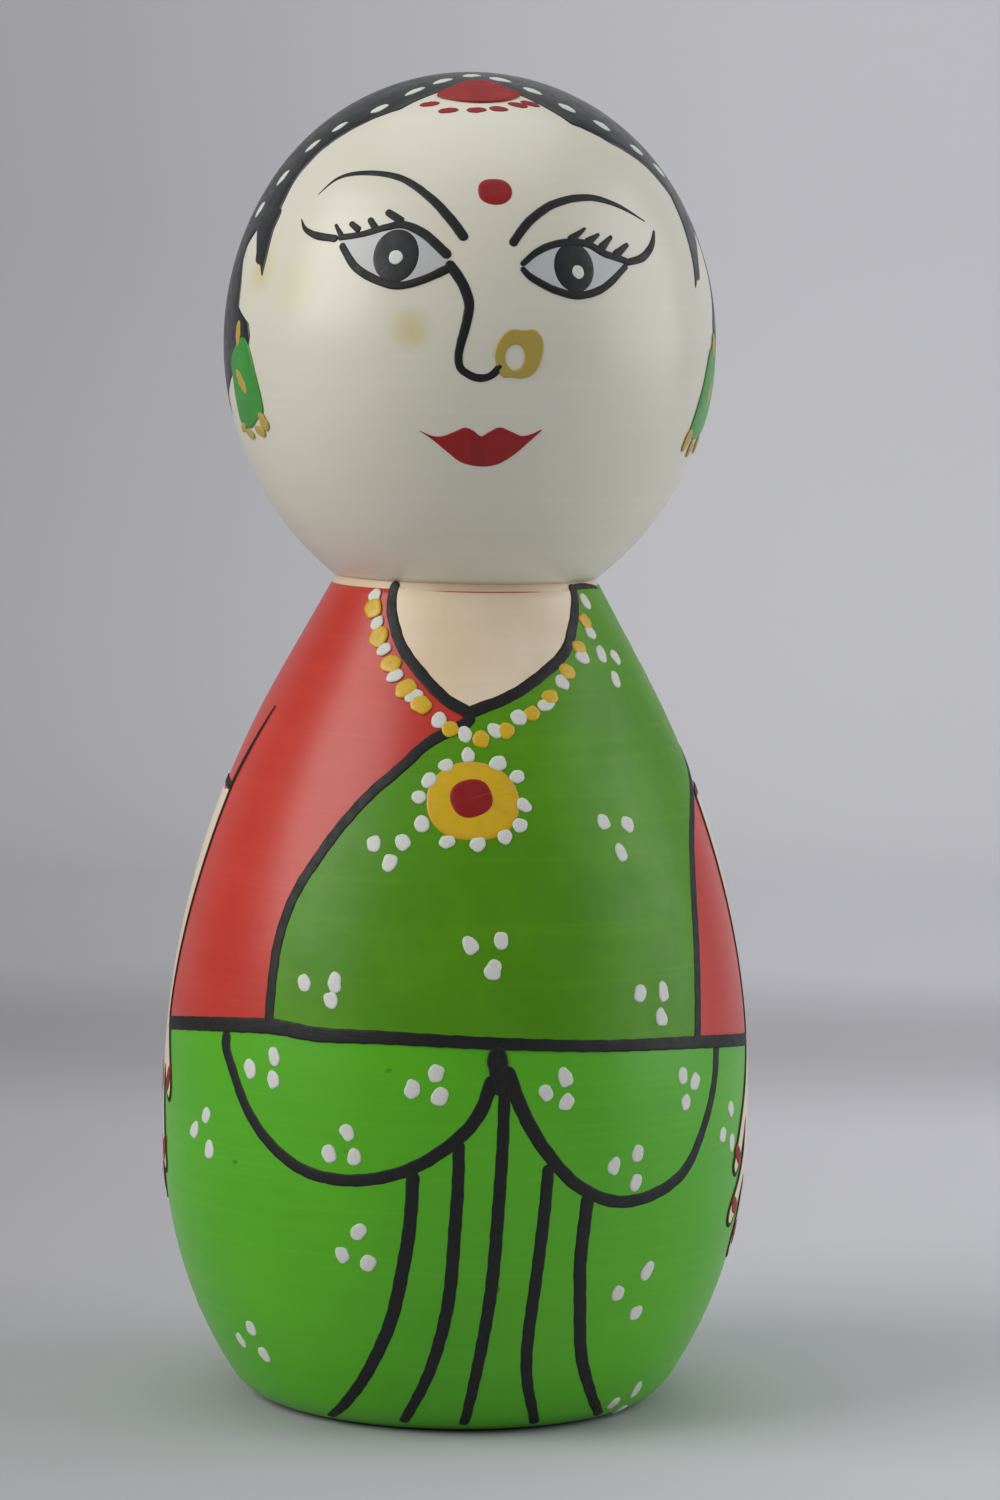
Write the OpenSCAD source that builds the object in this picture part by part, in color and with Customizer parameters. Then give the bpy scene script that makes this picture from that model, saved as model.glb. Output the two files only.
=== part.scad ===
// Painted wooden doll: a turned pear-shaped body and a turned ball head, joined by a glued dowel,
// then lacquered on the lathe and painted by hand. Every coat is its own thin solid.
// Z is up, the doll faces -Y, and the origin is the centre of the flat foot.

/* [Head] */
// Radius of the bare wooden head at its widest ring
head_r = 27.45; // [27:0.05:28]
// Height of the top of the flat at the head's widest ring
head_z = 119.8; // [119:0.1:120.5]
// Height of that narrow flat
ring_h = 0.2; // [0.1:0.1:0.4]
// Radius of the arc down the side of the head
side_arc = 32.9835; // [32.9:0.0005:33.1]
// Height of the top of the bare wooden head
top_z = 149.749; // [149:0.001:150.5]

/* [Body] */
// Radius of the bare wooden belly
belly_r = 33.05; // [32:0.05:34]
// Height where the belly starts to narrow upwards
belly_top = 34; // [33:1:36]
// Height where the belly starts to narrow downwards
belly_low = 30; // [29:0.5:32]
// Radius of the long arc from the belly to the chest
chest_arc = 100; // [98:1:104]
// Height where the chest arc ends in a straight shoulder
shoulder_z = 82.32; // [81:0.01:83]
// Radius of the arc under the belly
lower_arc = 50; // [49:1:52]
// Radius of the arc that turns in to the foot
foot_arc = 7; // [6.5:0.5:8]
// Height where the foot's arc starts
foot_z = 3.12; // [3:0.01:4]
// Height of the seam between body and head
seam_z = 93.5; // [93:0.5:94]

/* [Dowel] */
// Diameter of the dowel that joins head and body
dowel_d = 10; // [8:0.5:12]
// Length of the dowel
dowel_l = 24; // [18:1:30]
// Glue gap round the dowel
glue_gap = 0.05; // [0.02:0.01:0.1]

/* [Coats] */
// Thickness of the lacquer put on while the wood turns
lacquer = 0.15; // [0.1:0.01:0.2]
// Thickness of the colours painted over the lacquer
paint = 0.1; // [0.08:0.01:0.15]
// Thickness of the brush lines and dots on top
line = 0.12; // [0.1:0.01:0.15]
// Width of a brush line on the clothes
line_w = 1.3; // [1:0.1:1.6]
// Width of a brush line on the face
fine_w = 1; // [0.8:0.1:1.2]

/* [Face] */
// Radius of an iris
iris_r = 2.6; // [2.2:0.1:3]
// Radius of the spot of light in an eye
glint_r = 0.8; // [0.5:0.1:1]
// Radius of the spot on the forehead
bindi_r = 1.8; // [1.4:0.1:2.2]
// Outer radius of the nose ring
nose_ring_r = 2.7; // [2:0.1:3.2]
// Radius of the red forehead ornament at the parting
tikka_r = 4.2; // [3.5:0.1:5]

/* [Clothes] */
// Height of the middle of the waist line
waist_z = 44.6; // [43:0.1:46]
// Height of the cream band under the seam
neck_band_h = 0.7; // [0.5:0.1:1]
// Height where the dark line round the foot ends
hem_h = 0.5; // [0.4:0.1:0.8]
// Height of the foot's bare rim under the hem line
rim_h = 0.1; // [0.05:0.05:0.2]
// Radius of a painted dot
dot_r = 0.85; // [0.6:0.05:0.95]
// Radius of the pendant
pendant_r = 5; // [4:0.5:6]
// Radius of a yellow necklace bead
bead_r = 0.95; // [0.8:0.05:1]
// Radius of a white necklace bead
white_bead_r = 0.5; // [0.4:0.05:0.6]

/* [Hidden] */
$fn = 96;

reach = 60;
path_steps = 3;
level_paint = lacquer + paint;
level_line = level_paint + line;
low_x = belly_r - lower_arc;
foot_lean = asin((belly_low - foot_z) / lower_arc);
foot_c = [low_x + (lower_arc - foot_arc) * cos(foot_lean),
    belly_low - (lower_arc - foot_arc) * sin(foot_lean)];
chest_x = belly_r - chest_arc;
shoulder_lean = asin((shoulder_z - belly_top) / chest_arc);
shoulder_r = chest_x + chest_arc * cos(shoulder_lean);
neck_r = shoulder_r - (seam_z - shoulder_z) * tan(shoulder_lean);
side_x = head_r - side_arc;
ring_z = head_z - ring_h;
// The crown is the ball that meets the side arc smoothly and ends at top_z
crown_a = side_arc - top_z;
crown_z = (side_x * side_x + head_z * head_z - crown_a * crown_a) / (2 * (head_z + crown_a));
crown_r = top_z - crown_z;
crown_lean = atan2(crown_z - head_z, -side_x);
crown_join = crown_z + crown_r * sin(crown_lean);
skin_top = seam_z - neck_band_h;

// --- The turned surface ---
function arc_r(x, zc, r, z) = x + sqrt(max(0, r * r - pow(z - zc, 2)));
// Radius of the doll at a height, grown outwards by t
function surface_r(z, t = level_paint) =
    z > head_z + (side_arc + t) * sin(crown_lean) ? arc_r(0, crown_z, crown_r + t, z) :
    z > head_z ? arc_r(side_x, head_z, side_arc + t, z) :
    z > ring_z ? head_r + t :
    z > seam_z ? arc_r(side_x, ring_z, side_arc + t, z) :
    z > shoulder_z ? shoulder_r + t / cos(shoulder_lean) - (z - shoulder_z) * tan(shoulder_lean) :
    z > belly_top ? arc_r(chest_x, belly_top, chest_arc + t, z) :
    z > belly_low ? belly_r + t :
    z > foot_z ? arc_r(low_x, belly_low, lower_arc + t, z) :
    arc_r(foot_c[0], foot_c[1], foot_arc + t, z);

// A place on the doll is [degrees round from the front, height]. Positive degrees turn to +X.
function front_xz(p) = [surface_r(p[1]) * sin(p[0]), p[1]];
function front_path(places) = smooth([for (p = places) front_xz(p)]);
function side_path(places) = smooth([for (p = places) [-surface_r(p[1]) * cos(p[0]), p[1]]]);
// How far the surface leans back from upright at a height, in degrees
function lean(z, dz = 0.05) = atan2(surface_r(z - dz) - surface_r(z + dz), 2 * dz);
// Degrees round the doll covered by a length at a height
function turn_of(len, z) = len * 180 / (PI * surface_r(z));

// A smooth path through hand-chosen points, and the outline of a brush line along it
function pick(p, i) = p[min(max(i, 0), len(p) - 1)];
function between(a, b, c, d, s) =
    (2 * b + (c - a) * s + (2 * a - 5 * b + 4 * c - d) * s * s + (3 * b - a - 3 * c + d) * pow(s, 3)) / 2;
function smooth(p) = concat([for (i = [0 : len(p) - 2]) for (k = [0 : path_steps - 1])
        between(pick(p, i - 1), p[i], p[i + 1], pick(p, i + 2), k / path_steps)],
    [p[len(p) - 1]]);
function reversed(p) = [for (i = [len(p) - 1 : -1 : 0]) p[i]];
function across(p, i) = let (d = pick(p, i + 1) - pick(p, i - 1)) [-d[1], d[0]] / norm(d);
function strip(p, w) = concat(
    [for (i = [0 : len(p) - 1]) p[i] + across(p, i) * w / 2],
    [for (i = [len(p) - 1 : -1 : 0]) p[i] - across(p, i) * w / 2]);

// --- Half outlines of the turned shapes ---
module level(z0, z1) {
    translate([0, z0]) square([reach, z1 - z0]);
}

module disc(x, z, r) {
    translate([x, z]) circle(r);
}

// A ring of the arc about a centre, from t0 to t1 outside its radius
module arc_ring(x, z, r, t0, t1) {
    difference() {
        disc(x, z, r + t1);
        disc(x, z, r + t0);
    }
}

// The wedge between two directions from a centre, in degrees above level
module fan(x, z, a0, a1) {
    far = 2 * chest_arc;
    translate([x, z]) polygon([[0, 0], far * [cos(a0), sin(a0)], far * [cos(a1), sin(a1)]]);
}

module chest_ring(t0, t1) {
    intersection() {
        arc_ring(chest_x, belly_top, chest_arc, t0, t1);
        fan(chest_x, belly_top, 0, shoulder_lean);
        level(belly_top, seam_z);
    }
}

module shoulder_ring(t0, t1) {
    polygon([
        [shoulder_r + t0 * cos(shoulder_lean), shoulder_z + t0 * sin(shoulder_lean)],
        [shoulder_r + t1 * cos(shoulder_lean), shoulder_z + t1 * sin(shoulder_lean)],
        [neck_r + t1 / cos(shoulder_lean), seam_z],
        [neck_r + t0 / cos(shoulder_lean), seam_z]]);
}

module body_ring(t0, t1) {
    chest_ring(t0, t1);
    translate([belly_r + t0, belly_low]) square([t1 - t0, belly_top - belly_low]);
    intersection() {
        arc_ring(low_x, belly_low, lower_arc, t0, t1);
        fan(low_x, belly_low, 0, -foot_lean);
        level(0, belly_low);
    }
    intersection() {
        arc_ring(foot_c[0], foot_c[1], foot_arc, t0, t1);
        fan(foot_c[0], foot_c[1], -foot_lean, -90);
        level(0, belly_low);
    }
    shoulder_ring(t0, t1);
}

module body_coat(t0, t1, z0, z1) {
    rotate_extrude() intersection() {
        body_ring(t0, t1);
        level(z0, z1);
    }
}

module head_coat(t0, t1) {
    rotate_extrude() {
        intersection() {
            arc_ring(0, crown_z, crown_r, t0, t1);
            fan(0, crown_z, crown_lean, 90);
        }
        intersection() {
            arc_ring(side_x, head_z, side_arc, t0, t1);
            fan(side_x, head_z, 0, crown_lean);
            level(head_z, top_z);
        }
        translate([head_r + t0, ring_z]) square([t1 - t0, ring_h]);
        intersection() {
            arc_ring(side_x, ring_z, side_arc, t0, t1);
            level(seam_z, ring_z);
        }
    }
}

// --- Prisms that cut a coat to an outline: drawn in x-z for front and back, in y-z for a side ---
module to_front() {
    rotate([90, 0, 0]) linear_extrude(reach) children();
}

module to_back() {
    mirror([0, 1, 0]) to_front() children();
}

module to_side(s) {
    mirror([s < 0 ? 1 : 0, 0, 0]) rotate([90, 0, 90]) linear_extrude(reach) children();
}

module on_head(t0 = lacquer, t1 = level_paint) {
    intersection() {
        head_coat(t0, t1);
        union() children();
    }
}

module on_body(t0 = lacquer, t1 = level_paint, z0 = hem_h, z1 = skin_top) {
    intersection() {
        body_coat(t0, t1, z0, z1);
        union() children();
    }
}

module stroke(places, w = line_w) {
    polygon(strip(front_path(places), w));
}

module spot(place, r) {
    translate(front_xz(place)) circle(r);
}

// Flat dots laid on the surface at a level
module dots(places, r = dot_r, t = level_paint) {
    for (p = places)
        rotate([0, 0, p[0]])
        translate([0, -surface_r(p[1], t), p[1]])
        rotate([90 - lean(p[1]), 0, 0])
        cylinder(r = r, h = line);
}

// Three dots of the block pattern round each centre
function triplets(centres, spread = 1.7) = [for (p = centres) for (a = [90, 210, 330])
    p + [turn_of(spread * cos(a), p[1]), spread * sin(a)]];

// --- Places chosen by hand, in [degrees, height] ---
left_brow = [[-46, 135.7], [-41, 137.5], [-33, 138.2], [-22, 137.6], [-13, 135.5], [-4, 131]];
right_brow = [[6.5, 130.5], [11, 133], [18, 135.1], [27, 135.9], [36, 135.3], [45, 133.4]];
left_eye_top = [[-35.5, 130.7], [-29.5, 131.5], [-23, 132.3], [-19, 132.4], [-13.5, 131.4], [-7.4, 128.6]];
left_eye_low = [[-35.5, 130.3], [-30, 128.1], [-25.5, 126.8], [-19.5, 126.1], [-13.8, 126.6], [-7.4, 128.2]];
right_eye_top = [[9, 128.5], [13, 130], [18.5, 130.9], [25, 130.8], [30, 129.8], [36.5, 128.9]];
right_eye_low = [[9, 128.1], [11.5, 127], [16.5, 125.9], [22.5, 125.4], [29, 126.3], [36.5, 128.5]];
eye_flicks = [[[-48.5, 132.8], [-42, 131.2], [-35.8, 130.9]], [[36.8, 129], [41.5, 129.7], [47, 132]]];
iris_places = [[-20.3, 129.1], [21.8, 128.3]];
nose_path = [[-6.5, 128], [-4.3, 126.4], [-3, 124], [-3.6, 121.5], [-5, 118.6], [-3.3, 116.9],
    [0, 116.3], [3.2, 116.8], [4.7, 117.9]];
nose_ring_place = [8.3, 118.4];
nose_hole = 0.4;
lip_outline = [[-14, 110.4], [-9, 110.1], [-3.5, 110.9], [0.6, 110], [5, 110.9], [10.5, 110.2],
    [15, 110.6], [9, 108.2], [0.7, 106.7], [-7, 108], [-14, 110.4]];
bindi_place = [3.2, 136.2];
parting_y = -11;
tikka_drop_z = 144.6;
tikka_drop_step = 10;
earring_outline = [[66, 119.5], [72, 120], [75, 116], [79, 110.5], [70, 109.6], [60, 110.8], [66, 119.5]];
earring_places = [-69.5, 69.5];
earring_top_z = 121.6;
earring_tip_z = 108.6;
earring_tip_step = 6;
earring_top_r = 1.2;
neck_left = [[-31.7, 93.4], [-31.5, 90.3], [-24.6, 86.7], [-16.6, 84], [-8, 81.4], [0, 79.8]];
neck_right = [[0, 79.8], [10.6, 81.4], [21.4, 83.5], [33, 86.1], [41, 88.8], [48, 93.4]];
drape_left = [[-2, 79.2], [-11, 76.6], [-18, 73.6], [-31, 66.7], [-40, 58.5], [-41.2, 54], [-41, waist_z]];
drape_right = [[74, 71], [61.5, 65], [55.3, 57], [51, waist_z]];
pallu_right = [[90, 76], [108, 71], [120, 58], [126, waist_z]];
pallu_left = [[190, seam_z], [192, 80], [200, 62], [206, waist_z]];
pendant_place = [0, 70.6];
pendant_count = 12;
pendant_dot_gap = 0.9;
// The necklace hangs along an arc from shoulder to shoulder
bead_turns = [-42, 50];
bead_step = 6.5;
bead_mid = 3;
bead_low_z = 77.2;
bead_rise = 13.5;
bead_power = 1.6;
white_drop = 0.9;
function bead_z(a) = bead_low_z + bead_rise * pow(abs(a - bead_mid) / (bead_turns[1] - bead_mid), bead_power);
left_scallop = [[-52.5, 43.2], [-50, 40.4], [-45.4, 36], [-39, 32.6], [-31, 30.1], [-22, 29.6],
    [-12, 31], [-4, 33.7], [1.5, 37.2], [4.6, 43.2]];
right_scallop = [[7.2, 43.2], [10, 37.5], [14.8, 33.1], [21, 29.4], [30, 27.2], [39, 27.6],
    [47.5, 29.9], [53.5, 34.6], [58.6, 43.2]];
pleat_paths = [
    [[-10.4, 30], [-11.6, 21.4], [-14.8, 14.2], [-21.3, 7.7], [-34, 1.2]],
    [[-2, 33.6], [-2.2, 25], [-3.4, 16.2], [-7, 8.2], [-15, 1.2]],
    [[5.8, 38.6], [6, 26.4], [5, 17.6], [3.3, 8.3], [1, 1.2]],
    [[15.2, 31.6], [14, 21.5], [13.7, 12.9], [15, 7], [20, 1.2]],
    [[23.4, 27.6], [23, 18.6], [26.6, 10.2], [37, 1.2]]];
drape_triplets = [[-18, 65.2], [35, 66.9], [53, 84.7], [-29.5, 50], [3.5, 54.6], [39, 48.7],
    [176, 62], [194, 54], [158, 52], [150, 68], [170, 78], [130, 80]];
skirt_triplets = concat([[-41, 40.7], [-7.5, 40.3], [-23.5, 33.1], [17, 39.8], [47.4, 39],
    [32.2, 30.9], [-59, 32.4], [63.3, 33], [-21.3, 21.9], [36.8, 16.4], [-53, 9]],
    [for (a = [120 : 30 : 240]) [a, 36]], [for (a = [105 : 30 : 255]) [a, 24]],
    [for (a = [90 : 30 : 270]) [a, 11]]);
// Outline of the +X arm and hand, from the sleeve round the back of the hand to the fingertips
arm_outline = [[81, 69.5], [80.5, 60], [82, 50], [80, 43], [76, 39], [74.5, 34], [76, 28], [79, 23.5],
    [85, 21], [91, 22.5], [95, 28], [98, 35], [98, 41], [96, 47], [99, 55], [103, 63], [105, 69.5]];
finger_z = 26;
palm_place = [-1.5, 36];
palm_r = 1.5;
cuff_z = 69.5;
sleeve_top = [70, 79];
cuff_turn = 92;
cuff_w = 14;

// --- Wood ---
module body_profile() {
    square([foot_c[0], foot_z]);
    intersection() {
        disc(foot_c[0], foot_c[1], foot_arc);
        level(0, foot_z);
    }
    intersection() {
        disc(low_x, belly_low, lower_arc);
        level(foot_z, belly_low);
    }
    translate([0, belly_low]) square([belly_r, belly_top - belly_low]);
    intersection() {
        disc(chest_x, belly_top, chest_arc);
        level(belly_top, shoulder_z);
    }
    polygon([[0, shoulder_z], [shoulder_r, shoulder_z], [neck_r, seam_z], [0, seam_z]]);
}

module head_profile() {
    intersection() {
        disc(side_x, ring_z, side_arc);
        level(seam_z, ring_z);
    }
    translate([0, ring_z]) square([head_r, ring_h]);
    intersection() {
        disc(side_x, head_z, side_arc);
        level(head_z, crown_join);
    }
    intersection() {
        disc(0, crown_z, crown_r);
        level(crown_join, top_z + head_r);
    }
}

module socket() {
    cylinder(d = dowel_d + 2 * glue_gap, h = dowel_l);
}

module body() color("burlywood") difference() {
    rotate_extrude() body_profile();
    translate([0, 0, seam_z - dowel_l / 2 - glue_gap]) socket();
}

module head() color("burlywood") difference() {
    rotate_extrude() head_profile();
    translate([0, 0, seam_z + dowel_l / 2 + glue_gap]) mirror([0, 0, 1]) socket();
}

module neck_dowel() color("tan")
    translate([0, 0, seam_z - dowel_l / 2]) cylinder(d = dowel_d, h = dowel_l);

// --- Lacquer put on while the wood turns ---
module face_lacquer() color("ivory") head_coat(0, lacquer);

module neck_band() color("blanchedalmond") body_coat(0, lacquer, skin_top, seam_z);

module blouse_lacquer() color("firebrick") body_coat(0, lacquer, waist_z, skin_top);

module skirt_lacquer() color("limegreen") body_coat(0, lacquer, hem_h, waist_z);

module hem_line() color("black") body_coat(0, lacquer, rim_h, hem_h);

// --- Head, painted by hand ---
// The hairline is a wedge down the sides and a straight cut over the crown, with a notch at each ear
module hair() color("#222222") {
    temple = 61.5;
    sideburn_z = 126.8;
    ear_y = -8.4;
    ear_z = 129;
    ear_r = 2.3;
    nape_z = 100;
    front = reach * [sin(temple), -cos(temple)];
    on_head() difference() {
        union() {
            translate([0, 0, sideburn_z]) linear_extrude(crown_join - sideburn_z)
                polygon([[0, 0], front, [reach, reach], [-reach, reach], [-front[0], front[1]]]);
            translate([-reach, -surface_r(crown_join) * cos(temple), crown_join])
                cube([2 * reach, 2 * reach, reach]);
            translate([-reach, ear_y, nape_z]) cube([2 * reach, reach, sideburn_z - nape_z]);
        }
        translate([-reach, ear_y, ear_z]) rotate([0, 90, 0]) cylinder(r = ear_r, h = 2 * reach);
    }
}

module hairline_dots() color("white") {
    tilt = 19;
    step = 9;
    for (a = [-6 : 6])
        translate([0, 0, crown_z])
        rotate([0, a * step, 0])
        rotate([tilt, 0, 0])
        translate([0, 0, crown_r + level_paint])
        cylinder(r = dot_r, h = line);
}

module tikka() color("crimson") on_head(level_paint, level_line)
    translate([0, parting_y, head_z]) cylinder(r = tikka_r, h = reach);

module tikka_drops() color("crimson")
    dots([for (i = [-2 : 2]) [tikka_drop_step * i, tikka_drop_z]], dot_r, lacquer);

module bindi() color("crimson") on_head() to_front() spot(bindi_place, bindi_r);

module eyebrows() color("black") on_head() to_front()
    for (p = [left_brow, right_brow]) stroke(p, fine_w);

module eye_outline(top, low) {
    polygon(concat(front_path(top), reversed(front_path(low))));
}

module eye_whites() color("white") on_head(lacquer, lacquer + paint / 2) to_front() {
    eye_outline(left_eye_top, left_eye_low);
    eye_outline(right_eye_top, right_eye_low);
}

module eye_irises() color("#333333") on_head(lacquer + paint / 2, level_paint) to_front()
    for (p = iris_places) spot(p, iris_r);

module eye_glints() color("white") on_head(level_paint, level_line) to_front()
    for (p = iris_places) spot(p, glint_r);

module eye_lines() color("black") {
    paths = concat([left_eye_top, left_eye_low, right_eye_top, right_eye_low], eye_flicks);
    on_head(level_paint, level_line) to_front() for (p = paths) stroke(p, fine_w);
}

module nose_line() color("black") on_head() to_front() stroke(nose_path, fine_w);

module nose_ring() color("goldenrod") on_head(level_paint, level_line) to_front() difference() {
    spot(nose_ring_place, nose_ring_r);
    spot(nose_ring_place, nose_hole * nose_ring_r);
}

module lips() color("crimson") on_head() to_front() polygon(front_path(lip_outline));

module earrings() color("seagreen") on_head(level_paint, level_line)
    for (s = [-1, 1]) to_side(s) polygon(side_path(earring_outline));

module earring_gold() color("goldenrod") {
    tops = [for (a = earring_places) [a, earring_top_z]];
    tips = [for (a = earring_places) for (i = [-1 : 1]) [a + earring_tip_step * i, earring_tip_z]];
    dots(tops, earring_top_r, lacquer);
    dots(tips, dot_r, lacquer);
}

// --- Skin, sari and arms, painted over the lacquer ---
module neck_skin() color("peachpuff") on_body() to_front()
    polygon(concat(front_path(neck_left), front_path(neck_right)));

module sari_drape() color("yellowgreen") on_body(z0 = waist_z) to_front() polygon(concat(
    front_path(drape_left), reversed(front_path(drape_right)),
    [[reach, pallu_right[0][1]], [reach, seam_z], [0, seam_z]],
    [[front_xz(neck_right[len(neck_right) - 1])[0], seam_z]], reversed(front_path(neck_right))));

module pallu() color("yellowgreen") on_body(z0 = waist_z) to_back() polygon(concat(
    [[reach, pallu_right[0][1]]], front_path(pallu_right), reversed(front_path(pallu_left)), [[reach, seam_z]]));

module arm(s) {
    on_body(z1 = cuff_z) to_side(s) polygon(side_path(arm_outline));
}

module left_arm() color("peachpuff") arm(-1);

module right_arm() color("peachpuff") arm(1);

module henna() color("crimson") on_body(level_paint, level_line, z1 = cuff_z)
    for (s = [-1, 1]) to_side(s) {
        intersection() {
            polygon(side_path(arm_outline));
            translate([-reach, 0]) square([2 * reach, finger_z]);
        }
        translate(palm_place) circle(palm_r);
    }

// --- Brush lines ---
module neckline() color("black") for (upper = [false, true]) intersection() {
    rotate_extrude() intersection() {
        if (upper) shoulder_ring(level_paint, level_line);
        else chest_ring(level_paint, level_line);
        level(belly_top, skin_top);
    }
    to_front() for (p = [neck_left, neck_right]) stroke(p);
}

module drape_edges() color("black") for (p = [drape_left, drape_right])
    on_body(level_paint, level_line, z0 = waist_z + line_w / 2) to_front() stroke(p);

module waist_line() color("black") difference() {
    body_coat(level_paint, level_line, waist_z - line_w / 2, waist_z + line_w / 2);
    for (s = [-1, 1]) to_side(s) polygon(side_path(arm_outline));
}

module skirt_scallops() color("black") on_body(level_paint, level_line, z1 = waist_z - line_w / 2)
    to_front() for (p = [left_scallop, right_scallop]) stroke(p);

module skirt_pleats() color("black") on_body(level_paint, level_line) to_front()
    for (p = pleat_paths) stroke(p);

module arm_lines() color("black") on_body(level_paint, level_line, z0 = waist_z + line_w / 2)
    for (s = [-1, 1]) to_side(s) {
        front_edge = [for (i = [0 : 2]) arm_outline[i]];
        cuff_y = -surface_r(cuff_z) * cos(cuff_turn);
        polygon(strip(side_path(concat([sleeve_top], front_edge)), line_w));
        translate([cuff_y - cuff_w / 2, cuff_z]) square([cuff_w, line_w]);
    }

// --- Jewellery ---
module necklace_yellow() color("gold")
    dots([for (a = [bead_turns[0] : bead_step : bead_turns[1]]) [a, bead_z(a)]], bead_r, level_line);

module necklace_white() color("white") {
    first = bead_turns[0] + bead_step / 2;
    dots([for (a = [first : bead_step : bead_turns[1]]) [a, bead_z(a) - white_drop]],
        white_bead_r, level_line);
}

module pendant() color("gold") on_body(level_paint, level_line) to_front() spot(pendant_place, pendant_r);

module pendant_centre() color("crimson") on_body(level_line, level_line + line) to_front()
    spot(pendant_place, 0.4 * pendant_r);

module pendant_dots() color("white") {
    r = pendant_r + pendant_dot_gap;
    dots([for (a = [0 : 360 / pendant_count : 359])
        pendant_place + [turn_of(r * cos(a), pendant_place[1]), r * sin(a)]]);
}

// --- Block-pattern dots on the cloth ---
module drape_dots() color("white") dots(triplets(drape_triplets));

module skirt_dots() color("white") dots(triplets(skirt_triplets), dot_r, lacquer);

body();
head();
neck_dowel();
face_lacquer();
neck_band();
blouse_lacquer();
skirt_lacquer();
hem_line();
hair();
hairline_dots();
tikka();
tikka_drops();
bindi();
eyebrows();
eye_whites();
eye_irises();
eye_glints();
eye_lines();
nose_line();
nose_ring();
lips();
earrings();
earring_gold();
neck_skin();
sari_drape();
pallu();
left_arm();
right_arm();
henna();
neckline();
drape_edges();
waist_line();
skirt_scallops();
skirt_pleats();
arm_lines();
necklace_yellow();
necklace_white();
pendant();
pendant_centre();
pendant_dots();
drape_dots();
skirt_dots();
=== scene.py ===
"""The looks of a turned and painted wooden doll. Lengths here are millimetres until a mesh is made.

A place on the doll is (degrees round from the front, height), with positive degrees towards +X.
"""

import math
from math import asin, atan2, cos, pi, radians, sin

import bpy
import numpy as np
from mathutils import Matrix, Vector
from mathutils.geometry import delaunay_2d_cdt


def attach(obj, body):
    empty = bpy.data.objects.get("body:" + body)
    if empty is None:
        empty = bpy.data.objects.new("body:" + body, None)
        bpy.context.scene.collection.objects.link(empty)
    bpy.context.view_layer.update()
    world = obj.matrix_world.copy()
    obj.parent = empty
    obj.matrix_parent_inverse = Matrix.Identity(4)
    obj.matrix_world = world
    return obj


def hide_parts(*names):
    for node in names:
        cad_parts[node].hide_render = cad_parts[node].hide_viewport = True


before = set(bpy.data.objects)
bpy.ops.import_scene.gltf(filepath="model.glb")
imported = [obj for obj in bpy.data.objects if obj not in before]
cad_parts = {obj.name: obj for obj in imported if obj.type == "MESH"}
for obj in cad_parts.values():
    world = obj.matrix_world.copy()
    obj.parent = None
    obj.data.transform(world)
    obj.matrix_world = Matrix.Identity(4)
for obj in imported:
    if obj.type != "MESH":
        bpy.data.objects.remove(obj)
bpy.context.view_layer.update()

MM = 0.001
rng = np.random.default_rng(7)

# ---- the turned shape
HEAD_R, HEAD_Z, RING_Z, SIDE_ARC, TOP_Z, SEAM_Z = 27.45, 119.8, 119.6, 32.9835, 149.749, 93.5
BELLY_R, BELLY_TOP, BELLY_LOW, CHEST_ARC, SHOULDER_Z = 33.05, 34.0, 30.0, 100.0, 82.32
LOWER_ARC, FOOT_ARC, FOOT_Z = 50.0, 7.0, 3.12
SIDE_X = HEAD_R - SIDE_ARC
CROWN_A = SIDE_ARC - TOP_Z
CROWN_Z = (SIDE_X**2 + HEAD_Z**2 - CROWN_A**2) / (2 * (HEAD_Z + CROWN_A))
CROWN_R = TOP_Z - CROWN_Z
CROWN_LEAN = atan2(CROWN_Z - HEAD_Z, -SIDE_X)
CHEST_X = BELLY_R - CHEST_ARC
SHOULDER_LEAN = asin((SHOULDER_Z - BELLY_TOP) / CHEST_ARC)
SHOULDER_R = CHEST_X + CHEST_ARC * cos(SHOULDER_LEAN)
LOW_X = BELLY_R - LOWER_ARC
FOOT_LEAN = asin((BELLY_LOW - FOOT_Z) / LOWER_ARC)
FOOT_X = LOW_X + (LOWER_ARC - FOOT_ARC) * cos(FOOT_LEAN)
FOOT_CZ = BELLY_LOW - (LOWER_ARC - FOOT_ARC) * sin(FOOT_LEAN)

# Levels above the bare wood
LACQUER, PAINT, LINE = 0.15, 0.25, 0.37
# Brush paint starts this far over the coat below it, and reaches this far into that coat
CLEAR, ROOT = 0.004, 0.03


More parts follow.
